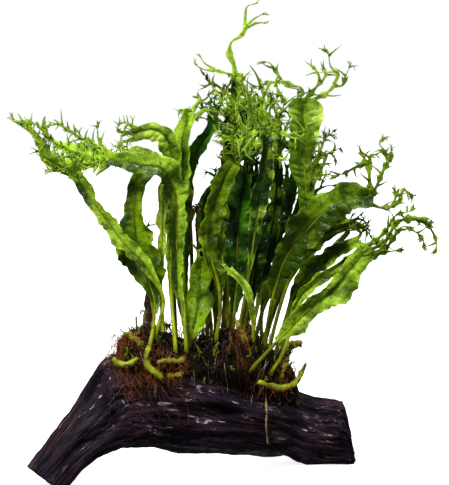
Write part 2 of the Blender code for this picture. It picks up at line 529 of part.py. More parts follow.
class Sheet:
    """A thin sheet that is grown row by row, before it gets its thickness."""

    def __init__(self):
        self.points = []
        self.faces = []

    def row(self, middle, side, half_width, cells=1, fold=Vector(), edges=(1.0, 1.0)):
        """Adds a row of points across, and returns their numbers. The middle point is lowered by fold."""
        first = len(self.points)
        for step in range(cells + 1):
            across = 2 * step / cells - 1
            half = half_width * edges[0 if across < 0 else 1]
            self.points.append(middle + side * half * across + fold * (abs(across) - 0.5))
        return list(range(first, first + cells + 1))

    def point(self, place):
        self.points.append(place)
        return [len(self.points) - 1]

    def bridge(self, low, high):
        """Joins two rows, which may have different numbers of points."""
        i = j = 0
        while i < len(low) - 1 or j < len(high) - 1:
            next_low = (i + 1) / (len(low) - 1) if i < len(low) - 1 else 2
            next_high = (j + 1) / (len(high) - 1) if j < len(high) - 1 else 2
            if abs(next_low - next_high) < 1e-6:
                self.faces.append((low[i], low[i + 1], high[j + 1], high[j]))
                i += 1
                j += 1
            elif next_low < next_high:
                self.faces.append((low[i], low[i + 1], high[j]))
                i += 1
            else:
                self.faces.append((low[i], high[j + 1], high[j]))
                j += 1
        return high


def fan_arms(fan, tip, direction, side, face, chance):
    """The arms of a fan crest, from the blade's left edge to its right one."""
    arms = []
    for index in range(fan.arms):
        spread = math.radians(fan.spread)
        angle = spread * (index / max(fan.arms - 1, 1) - 0.5)
        way = direction * math.cos(angle) + side * math.sin(angle)
        reach = fan.reach * MM * chance.uniform(0.8, 1.1)
        lift = face * chance.uniform(-0.35, 0.35)
        sag = Vector((0, 0, -fan.droop))
        arms.append([tip + (way + lift * share + sag * share * share) * reach * share
                     for share in (0.35, 0.7, 1.0)])
    return arms


def twig_plan(length, chance):
    """Where an arm's side twigs sit, as shares of its length, and which side they are on."""
    count = max(1, min(4, round(length / (TWIG_SPACING * MM))))
    plan = []
    leftward = chance.random() < 0.5
    for index in range(count):
        share = (index + 0.75 + chance.uniform(-0.15, 0.15)) / (count + 0.6)
        plan.append((share, leftward, chance.uniform(*TWIG_REACH) * MM, chance.uniform(-0.35, 0.35)))
        leftward = not leftward
    return plan


def grow_arm(sheet, base, points, turn, chance, width, bare=False):
    """One arm of a crest, with side twigs unless it is bare. It narrows to a point, or forks
    where its last entry holds more arms."""
    forks = ()
    if not isinstance(points[-1], Vector):
        *points, forks = points
    route = Route([(sheet.points[base[0]] + sheet.points[base[1]]) / 2] + points)
    end_width = max(TIP_WIDTH, width * 0.75) if forks else TIP_WIDTH
    plan = [] if bare else twig_plan(route.length, chance)
    half_foot = TWIG_FOOT * MM / route.length / 2
    shares = []
    for share, _, _, _ in plan:
        shares += [share - half_foot, share + half_foot]
    stops = [0.0] + shares + [1.0]
    for low, high in zip(stops, stops[1:]):
        extra = int((high - low) * route.length / (ARM_STEP * MM))
        shares += [low + (high - low) * (k + 1) / (extra + 1) for k in range(extra)]
    rows = {0.0: base}
    last = base
    for share in sorted(shares):
        side, _ = side_and_face(route.direction(share), turn)
        half = (width + (end_width - width) * share) / 2 * MM
        last = sheet.bridge(last, sheet.row(route.at(share), side, half))
        rows[share] = last
    for share, leftward, length, lift in plan:
        low, high = rows[share - half_foot], rows[share + half_foot]
        direction = route.direction(share)
        side, face = side_and_face(direction, turn)
        edge = [low[0], high[0]] if leftward else [high[1], low[1]]
        outward = -side if leftward else side
        way = (direction * 0.65 + outward + face * lift).normalized()
        middle = (sheet.points[edge[0]] + sheet.points[edge[1]]) / 2
        sheet.bridge(edge, sheet.point(middle + way * length))
    if not forks:
        sheet.bridge(last, sheet.point(route.at(1.0)))
        return
    side, _ = side_and_face(route.direction(1.0), turn)
    palm = sheet.row(route.at(1.0), side, len(forks) * end_width * 0.4 * MM, len(forks))
    sheet.bridge(last, palm)
    for index, fork in enumerate(forks):
        grow_arm(sheet, palm[index:index + 2], fork, turn, chance, end_width, bare)


def seen_arm(arm):
    """An arm's places in the row frame; its last entry may hold more arms."""
    if isinstance(arm[-1][0], tuple):
        return [seen(*place) for place in arm[:-1]] + [[seen_arm(fork) for fork in arm[-1]]]
    return [seen(*place) for place in arm]


def grow_frond(frond, carriers):
    """The frond as a thin sheet: stalk, blade and crest in one, starting clear of what it grows from."""
    chance = random.Random(frond.seed)
    route = Route(rooted([seen(*place) for place in frond.route], carriers))
    sheet = Sheet()
    start = rooted_share(route, carriers)
    blade_from = max(frond.blade_from, start + 0.1)
    turns = [math.radians(angle) for angle in frond.facing]
    last = None
    stalk_steps = 2
    for step in range(stalk_steps):
        share = start + (blade_from - start) * step / stalk_steps
        side, _ = side_and_face(route.direction(share), turns[0])
        row = sheet.row(route.at(share), side, STALK_WIDTH / 2 * MM)
        last = row if last is None else sheet.bridge(last, row)
    outline = EDGES.get(frond.name, ((0, 1, 1), (1, 1, 1)))
    blade_steps = 8 if frond.name in EDGES else 5 if route.length < 105 * MM else 6
    for step in range(blade_steps + 1):
        along = step / blade_steps
        share = blade_from + (1 - blade_from) * along
        turn = turns[0] + (turns[1] - turns[0]) * along
        side, face = side_and_face(route.direction(share), turn)
        half = frond.width / 2 * MM * interpolate(BLADE_SHAPES[frond.shape], along)
        fold = face * half * 0.28
        edges = [interpolate([(row[0], row[hand]) for row in outline], along) for hand in (1, 2)]
        last = sheet.bridge(last, sheet.row(route.at(share), side, half, 2, fold, edges))
    tip = route.at(1.0)
    direction = route.direction(1.0)
    side, face = side_and_face(direction, turns[1])
    if isinstance(frond.crest, Fan):
        arms = fan_arms(frond.crest, tip, direction, side, face, chance)
    else:
        arms = [seen_arm(arm) for arm in frond.crest]
    widths = frond.arm_widths or [ARM_WIDTH] * len(arms)
    palm_half = max(frond.width * 0.3, sum(widths) * 0.5) * MM
    palm = sheet.row(tip + direction * 1.6 * MM, side, palm_half, len(arms))
    sheet.bridge(last, palm)
    for index, (arm, width) in enumerate(zip(arms, widths)):
        grow_arm(sheet, palm[index:index + 2], arm, turns[1], chance, width, frond.bare)
    return sheet


def rooted(points, carriers):
    """The same points, with one more where the stalk would meet what it grows from."""
    way = (points[0] - points[1]).normalized()
    for direction in (way, Vector((0, 0, -1))):
        hits = [tree.ray_cast(points[0], direction) for tree in carriers]
        hits = [hit for hit in hits if hit[0] is not None and hit[3] < 30 * MM]
        if hits:
            return [min(hits, key=lambda hit: hit[3])[0]] + points
    return points


def rooted_share(route, carriers, radius=STALK_WIDTH / 2):
    """The share of the route where a stalk is just clear of the roots, wood and stems below it."""
    clearance = (radius + TOUCH_GAP) * MM
    last_touch = 0.0
    steps = 250
    for step in range(steps // 2):
        share = step / steps
        point = route.at(share)
        if any(tree.find_nearest(point)[3] < clearance for tree in carriers):
            last_touch = share
    return last_touch + 2 / steps


def limb_station(share):
    """Upper outline, lower outline, depth and half thickness of the limb at a share of its length."""
    rows = [Vector((*top, *bottom)) for top, bottom, _, _ in LIMB]
    depths = [Vector((back, half, 0)) for _, _, back, half in LIMB]
    outline, depth = spline(rows, share), spline(depths, share)
    return outline.xy, outline.zw, depth.x, depth.y


def limb_point(share, angle, lift=0.0):
    """A point of the bark. Angle 0 is the top, a quarter turn is the front; lift is in millimetres."""
    top, bottom, back, half = limb_station(share)
    middle, reach = (top + bottom) / 2, (top - bottom) / 2
    cos, sin = math.cos(angle), math.sin(angle)
    squareness = (abs(cos) ** 2.6 + abs(sin) ** 2.6) ** (-1 / 2.6)
    ridges = 1 + 0.035 * sin * math.sin(3 * angle + 5 * share) + 0.03 * sin * math.cos(5 * angle - 9 * share)
    place = middle + reach * cos * squareness
    lift_up = reach.normalized() * lift * cos
    depth = back - (half * ridges * squareness + lift) * sin
    (slot_across, slot_up), slot_half, slot_height, slot_depth = HOLLOW
    if sin > 0:
        off = ((place.x - slot_across) / slot_half) ** 2 + ((place.y - slot_up) / slot_height) ** 2
        depth += slot_depth * math.exp(-off)
    return seen(place.x + lift_up.x, place.y + lift_up.y, depth)


def grid_solid(rows, closed_round):
    """Points and quads of a grid. Rows that close round get a cap at each end."""
    count = len(rows[0])
    points = [point for row in rows for point in row]
    faces = []
    for i in range(len(rows) - 1):
        for j in range(count if closed_round else count - 1):
            k = (j + 1) % count
            faces.append((i * count + j, i * count + k, (i + 1) * count + k, (i + 1) * count + j))
    if closed_round:
        faces.append(tuple(reversed(range(count))))
        faces.append(tuple(range(len(points) - count, len(points))))
    return points, faces


def new_object(name, points, faces, origin, tone, parent, smooth=True):
    """A named object whose origin is on the place where it grows or stands."""
    mesh = bpy.data.meshes.new(name)
    mesh.from_pydata([point - origin for point in points], [], faces)
    shape = bmesh.new()
    shape.from_mesh(mesh)
    bmesh.ops.recalc_face_normals(shape, faces=shape.faces)
    shape.to_mesh(mesh)
    shape.free()
    if smooth:
        mesh.shade_smooth()
    thing = bpy.data.objects.new(name, mesh)
    bpy.context.scene.collection.objects.link(thing)
    thing.location = origin
    thing.parent = parent
    mesh.materials.append(material(name, tone))
    return thing


def material(name, tone):
    colour, roughness = TONES[tone]
    made = bpy.data.materials.new(name)
    made.use_nodes = True
    shader = made.node_tree.nodes["Principled BSDF"]
    shader.inputs["Base Color"].default_value = colour
    shader.inputs["Roughness"].default_value = roughness
    shader.inputs["Metallic"].default_value = 0.0
    return made


def surface_tree(thing):
    """The object's surface in the row frame, for finding what is nearest or in front."""
    bpy.context.view_layer.update()
    graph = bpy.context.evaluated_depsgraph_get()
    mesh = thing.evaluated_get(graph).to_mesh()
    points = [thing.matrix_world @ vertex.co for vertex in mesh.vertices]
    faces = [tuple(face.vertices) for face in mesh.polygons]
    return BVHTree.FromPolygons(points, faces)


def make_limb(parent):
    rows = []
    for i in range(LIMB_STATIONS + 1):
        share = i / LIMB_STATIONS
        rows.append([limb_point(share, -math.tau * j / LIMB_SIDES) for j in range(LIMB_SIDES)])
    points, faces = grid_solid(rows, True)
    limb = new_object("driftwood_limb", points, faces, seen(0, 0, 0), "wood", parent)
    stand_on_ground(limb)
    limb.data.set_sharp_from_angle(angle=math.radians(50))
    return limb


def stand_on_ground(thing):
    """Cuts the limb flat where it meets the surface that it stands on."""
    shape = bmesh.new()
    shape.from_mesh(thing.data)
    everything = shape.verts[:] + shape.edges[:] + shape.faces[:]
    ground = Vector((0, 0, -thing.location.z))
    bmesh.ops.bisect_plane(shape, geom=everything, plane_co=ground, plane_no=Vector((0, 0, 1)),
                           clear_inner=True, dist=1e-7)
    rims = [edge for edge in shape.edges if edge.is_boundary]
    bmesh.ops.holes_fill(shape, edges=rims)
    bmesh.ops.recalc_face_normals(shape, faces=shape.faces)
    shape.to_mesh(thing.data)
    shape.free()


def make_mat(parent):
    """The tangle of roots over the limb's top, a slab that follows the bark."""
    first, last = MAT_SPAN
    columns, sides = 13, 7
    outer, inner = [], []
    chance = random.Random(5)
    for i in range(columns + 1):
        along = i / columns
        share = first + (last - first) * along
        height = interpolate(MAT_HEIGHTS, along)
        outer.append([])
        inner.append([])
        for j in range(sides + 1):
            round_share = j / sides
            angle = -MAT_BEHIND + (MAT_BEHIND + MAT_FRONT) * round_share
            crown = math.sin(math.pi * min(max(round_share, 0.04), 0.96)) ** 0.6
            lump = chance.uniform(0.85, 1.1)
            outer[-1].append(limb_point(share, angle, 1.2 + height * crown * lump))
            inner[-1].append(limb_point(share, angle, TOUCH_GAP * 1.6))
    points, faces = grid_solid([out + back[::-1] for out, back in zip(outer, inner)], True)
    return new_object("root_mat", points, faces, seen(0, 48, -5), "roots", parent)


def make_tuft(parent):
    """Roots that hang down over the limb's face, joined along their top like a fringe."""
    sheet = Sheet()
    first, last = TUFT_SPAN
    shares = [first + (last - first) * step / (2 * len(TUFT_FINGERS) - 1)
              for step in range(2 * len(TUFT_FINGERS))]
    rows = []
    for angle in (TUFT_TOP, TUFT_TOP + math.radians(9)):
        rows.append([sheet.point(limb_point(share, angle, 1.3))[0] for share in shares])
    sheet.bridge(*rows)
    for index, (tip_share, tip_angle) in enumerate(TUFT_FINGERS):
        last = rows[1][2 * index:2 * index + 2]
        for down in (0.35, 0.7):
            angle = TUFT_TOP + math.radians(9) * (1 - down) + (math.radians(tip_angle) - TUFT_TOP) * down
            middle = shares[2 * index] * (1 - down) + tip_share * down + 0.006
            low = sheet.point(limb_point(middle - 0.004, angle, 1.3))
            last = sheet.bridge(last, low + sheet.point(limb_point(middle + 0.004, angle, 1.3)))
        sheet.bridge(last, sheet.point(limb_point(tip_share, math.radians(tip_angle), 1.2)))
    tuft = new_object("root_tuft_left", sheet.points, sheet.faces, sheet.points[0], "rusty_roots",
                      parent)
    thicken(tuft)
    return tuft


def tube(points, radii, sides, steps):
    """Rings round a smooth route, closed at both ends."""
    route = Route(points)
    pairs = [(index / (len(radii) - 1), radius) for index, radius in enumerate(radii)]
    rows = []
    for step in range(steps + 1):
        share = step / steps
        radius = interpolate(pairs, share) * MM
        side, face = side_and_face(route.direction(share), 0)
        middle = route.at(share)
        rows.append([middle + (side * math.cos(turn) + face * math.sin(turn)) * radius
                     for turn in (math.tau * k / sides for k in range(sides))])
    return grid_solid(rows, True)


def cling(places, radii, trees):
    """Points just in front of what is behind each place."""
    points = []
    back = 0.0
    for (across, up), radius in zip(places, radii):
        start = seen(across, up, -150)
        way = (seen(across, up, 150) - start).normalized()
        hits = [tree.ray_cast(start, way) for tree in trees]
        hits = [hit for hit in hits if hit[0] is not None]
        if hits:
            place, normal = min(hits, key=lambda hit: hit[3])[:2]
            back = (place + normal * (radius + TOUCH_GAP) * MM).y / MM + ORIGIN_BACK
        points.append(seen(across, up, back))
    return points


def clear_of(points, radii, trees):
    """Moves each point straight towards the viewer until its tube clears what is behind it."""
    moved = []
    for point, radius in zip(points, radii):
        for _ in range(80):
            if min(tree.find_nearest(point)[3] for tree in trees) >= (radius * 1.05 + TOUCH_GAP) * MM:
                break
            point = point - VIEW_DIRECTION * 0.25 * MM
        moved.append(point)
    return moved


def clinging_tube(name, places, radii, tone, sides, trees, parent):
    """A round piece that lies against the trees' surfaces."""
    route = Route(clear_of(cling(places, radii, trees), radii, trees))
    steps = 2 * (len(places) - 1)
    pairs = [(index / (len(radii) - 1), radius) for index, radius in enumerate(radii)]
    finer = [interpolate(pairs, step / steps) for step in range(steps + 1)]
    points = clear_of([route.at(step / steps) for step in range(steps + 1)], finer, trees)
    mesh = tube(points, finer, sides, steps)
    return new_object(name, *mesh, points[0], tone, parent)


def standing_tube(name, places, radii, tone, sides, trees, parent):
    """A round piece that rises from just above what it stands on."""
    route = Route([seen(*place) for place in places])
    start = rooted_share(route, trees, radii[0])
    steps = 2 * (len(places) - 1)
    points = [route.at(start + (1 - start) * step / steps) for step in range(steps + 1)]
    mesh = tube(points, radii, sides, steps)
    return new_object(name, *mesh, points[0], tone, parent)


def thicken(thing):
    """Gives a sheet its thickness."""
    thickness = thing.modifiers.new("Thickness", "SOLIDIFY")
    thickness.thickness = FROND_THICKNESS * MM
    thickness.offset = 0


def make_frond(frond, carriers, parent):
    sheet = grow_frond(frond, carriers)
    thing = new_object("frond_" + frond.name, sheet.points, sheet.faces, sheet.points[0],
                       frond.tone, parent)
    thicken(thing)
    return thing


def main():
    for thing in list(bpy.data.objects):
        bpy.data.objects.remove(thing)
    plant = bpy.data.objects.new("java_fern", None)
    bpy.context.scene.collection.objects.link(plant)
    limb = make_limb(plant)
    mat = make_mat(plant)
    carriers = [surface_tree(limb), surface_tree(mat)]
    tuft = make_tuft(plant)
    under = carriers + [surface_tree(tuft)]
    for name, (places, radii) in RHIZOMES.items():
        stem = clinging_tube("rhizome_" + name, places, radii, "rhizome", RHIZOME_SIDES, under, plant)
        carriers.append(surface_tree(stem))
    strand_radii = [ROOT_STRAND_RADIUS] * len(ROOT_STRAND)
    clinging_tube("root_strand_right", ROOT_STRAND, strand_radii, "rusty_roots", 4, under[:1], plant)
    spur = standing_tube("driftwood_spur", *SPUR, "wood", 8, carriers, plant)
    carriers.append(surface_tree(spur))
    for name, (places, radii) in CROZIERS.items():
        standing_tube("crozier_" + name, places, radii, "fresh", 5, carriers, plant)
    for frond in FRONDS:
        make_frond(frond, carriers, plant)


main()
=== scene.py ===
"""The looks of a java fern on a bent limb of wet driftwood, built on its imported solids.

Places are written as they are seen from the front, in millimetres: how far across, how far up,
and how far back. seen() turns them into metres in the frame of the solids.
"""

import math
import random
from bisect import bisect_left
from dataclasses import dataclass

import bpy
from mathutils import Matrix, Vector, noise
from mathutils.bvhtree import BVHTree


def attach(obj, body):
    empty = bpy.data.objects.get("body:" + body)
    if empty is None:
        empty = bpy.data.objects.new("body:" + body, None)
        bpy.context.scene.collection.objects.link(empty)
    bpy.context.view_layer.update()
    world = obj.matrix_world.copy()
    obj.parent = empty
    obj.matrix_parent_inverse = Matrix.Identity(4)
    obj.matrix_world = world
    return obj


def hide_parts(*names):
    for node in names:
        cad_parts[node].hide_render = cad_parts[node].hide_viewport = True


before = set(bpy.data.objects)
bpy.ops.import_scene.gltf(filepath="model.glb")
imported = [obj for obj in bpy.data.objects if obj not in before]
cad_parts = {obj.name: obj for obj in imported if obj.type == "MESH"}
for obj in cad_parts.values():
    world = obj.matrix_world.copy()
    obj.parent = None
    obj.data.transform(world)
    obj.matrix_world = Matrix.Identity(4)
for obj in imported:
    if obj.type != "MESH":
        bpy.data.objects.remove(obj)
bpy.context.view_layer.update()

# Without a seed, the noise that bends the free roots would follow the clock.
noise.seed_set(5)

MM = 0.001

# The front view that the places are read in: it looks slightly down, from a little over a metre.
VIEW_TILT = math.radians(10.0)
VIEW_DISTANCE = 1200.0
VIEW_MIDDLE_UP = 111.75
VIEW_HEIGHT = 242.5
ORIGIN_ACROSS = 0.75
ORIGIN_BACK = 1.3
LIMB_LENGTH = 195.0

# Driving dimensions, in millimetres.
TOUCH_GAP = 0.3
STALK_WIDTH = 2.0
TIP_WIDTH = 1.0
ARM_WIDTH = 2.7
TWIG_REACH = (4.5, 7.5)
TWIG_SPACING = 13.0
BLADE_THICKNESS = 0.3
CREST_THICKNESS = 0.35
ROW_STEP = 0.8                 # from one row of a leaf's points to the next
PALM_RUN = 1.6                 # how far a blade runs on into its crest
BARK_RADIUS = 18.0             # of the round that the wood's grain is laid on
MAT_RADIUS = 22.0              # the same for the mat
CREEP_RADIUS = 21.0            # the same for the roots that creep over both
FINE_GAP = 4.5                 # crests with a smaller gap have twigs all along their arms
BARE_GAP = 20.0                # crests with a larger one have none
LONG_REACH = 16.0              # crests with a longer reach have some broad, long twigs

VEIN_SLANT = 0.6               # how far a side vein runs on for each millimetre outwards
JAGGED_FROM = 0.88             # the share of the limb's length where its broken end starts
DOWN = math.pi / 2             # the heading of a root that creeps down over the front

# The share of the full width that a blade has, from its stalk to its crest.
BLADE_SHAPES = {
    "lance": ((0.0, 0.14), (0.2, 0.55), (0.4, 0.88), (0.6, 1.0), (0.8, 0.85), (1.0, 0.5)),
    "broad_top": ((0.0, 0.1), (0.3, 0.3), (0.5, 0.62), (0.68, 0.96), (0.85, 1.0), (1.0, 0.88)),
    "necked": ((0.0, 0.1), (0.15, 0.4), (0.3, 0.85), (0.42, 1.0), (0.6, 0.72), (0.72, 0.42),
               (1.0, 0.36)),
    "strap": ((0.0, 0.2), (0.2, 0.75), (0.5, 1.0), (0.8, 0.95), (1.0, 0.7)),
    "late": ((0.0, 0.12), (0.2, 0.4), (0.5, 0.62), (0.68, 0.85), (0.84, 1.0), (1.0, 0.5)),
}

# Blades whose edges differ: shares of the blade's length, each with the shares of the shape's
# half width that the left and the right edge have there.
EDGES = {
    "left_long": ((0, 0.35, 0.3), (0.1, 0.45, 0.45), (0.22, 0.65, 0.9), (0.3, 0.75, 1.05),
                  (0.5, 0.9, 1.0), (0.62, 1.0, 1.05), (0.69, 0.95, 1.3),
                  (0.73, 0.9, 0.45), (0.79, 0.8, 0.5), (0.86, 0.85, 1.2),
                  (0.95, 0.8, 1.5), (1, 0.5, 1.2)),
    "left_crested": ((0, 1, 1), (0.72, 1, 1), (0.81, 1.1, 1.2), (0.88, 1.2, 1.0), (0.94, 0.85, 0.8),
                     (1, 0.8, 0.8)),
    "left_broad": ((0, 0.6, 1), (0.2, 0.65, 1.05), (0.36, 0.8, 1.0), (0.5, 1.0, 0.78), (0.64, 0.95, 0.75),
                   (0.8, 1.1, 0.8), (1, 1, 1)),
    "left_bright": ((0, 1, 1), (0.75, 1, 1), (0.85, 1.4, 1.3), (1, 2.0, 2.2)),
    "left_curl": ((0, 1, 1), (0.7, 1, 1), (0.82, 1.15, 1.0), (1, 1.4, 1.1)),
    "left_upright": ((0, 1, 1), (0.75, 1, 1), (0.88, 1.25, 0.9), (1, 0.9, 1.0)),
    "right_quilted": ((0, 1, 1), (0.4, 1.2, 0.6), (0.5, 1.28, 0.45), (0.6, 1.0, 0.42), (0.68, 0.9, 0.62),
                      (0.76, 0.87, 0.9), (0.81, 0.86, 1.12), (0.87, 0.82, 0.98),
                      (0.93, 0.8, 1.1), (1, 0.92, 1.1)),
    "right_low": ((0, 1, 0.6), (0.12, 0.9, 0.9), (0.22, 0.8, 1.25), (0.3, 0.65, 0.95), (0.38, 0.6, 0.45),
                  (0.48, 0.55, 0.8), (0.6, 0.5, 1.2), (0.7, 0.5, 1.25),
                  (0.82, 0.6, 0.95), (0.92, 0.8, 0.75), (1, 0.9, 0.9)),
    "right_big": ((0, 1, 1), (0.45, 1.0, 1.0), (0.6, 1.4, 1.0), (0.72, 1.5, 1.0), (0.86, 1.15, 0.95),
                  (1, 1, 1)),
}


@dataclass
class Fan:
    """A crest that opens like a fan: arms of one reach, spread over an angle, that droop."""

    arms: int
    reach: float
    spread: float
    droop: float = 0.25


@dataclass
class Frond:
    """One frond. The route runs from the roots to the blade's end, where the crest's arms start.

    Arms are listed from the blade's left edge to its right one, as it faces the viewer.
    """

    name: str
    tone: str
    width: float
    route: tuple
    crest: object
    blade_from: float = 0.45
    shape: str = "lance"
    facing: tuple = (0.0, 0.0)
    seed: int = 1
    arm_widths: tuple = ()
    bare: bool = False


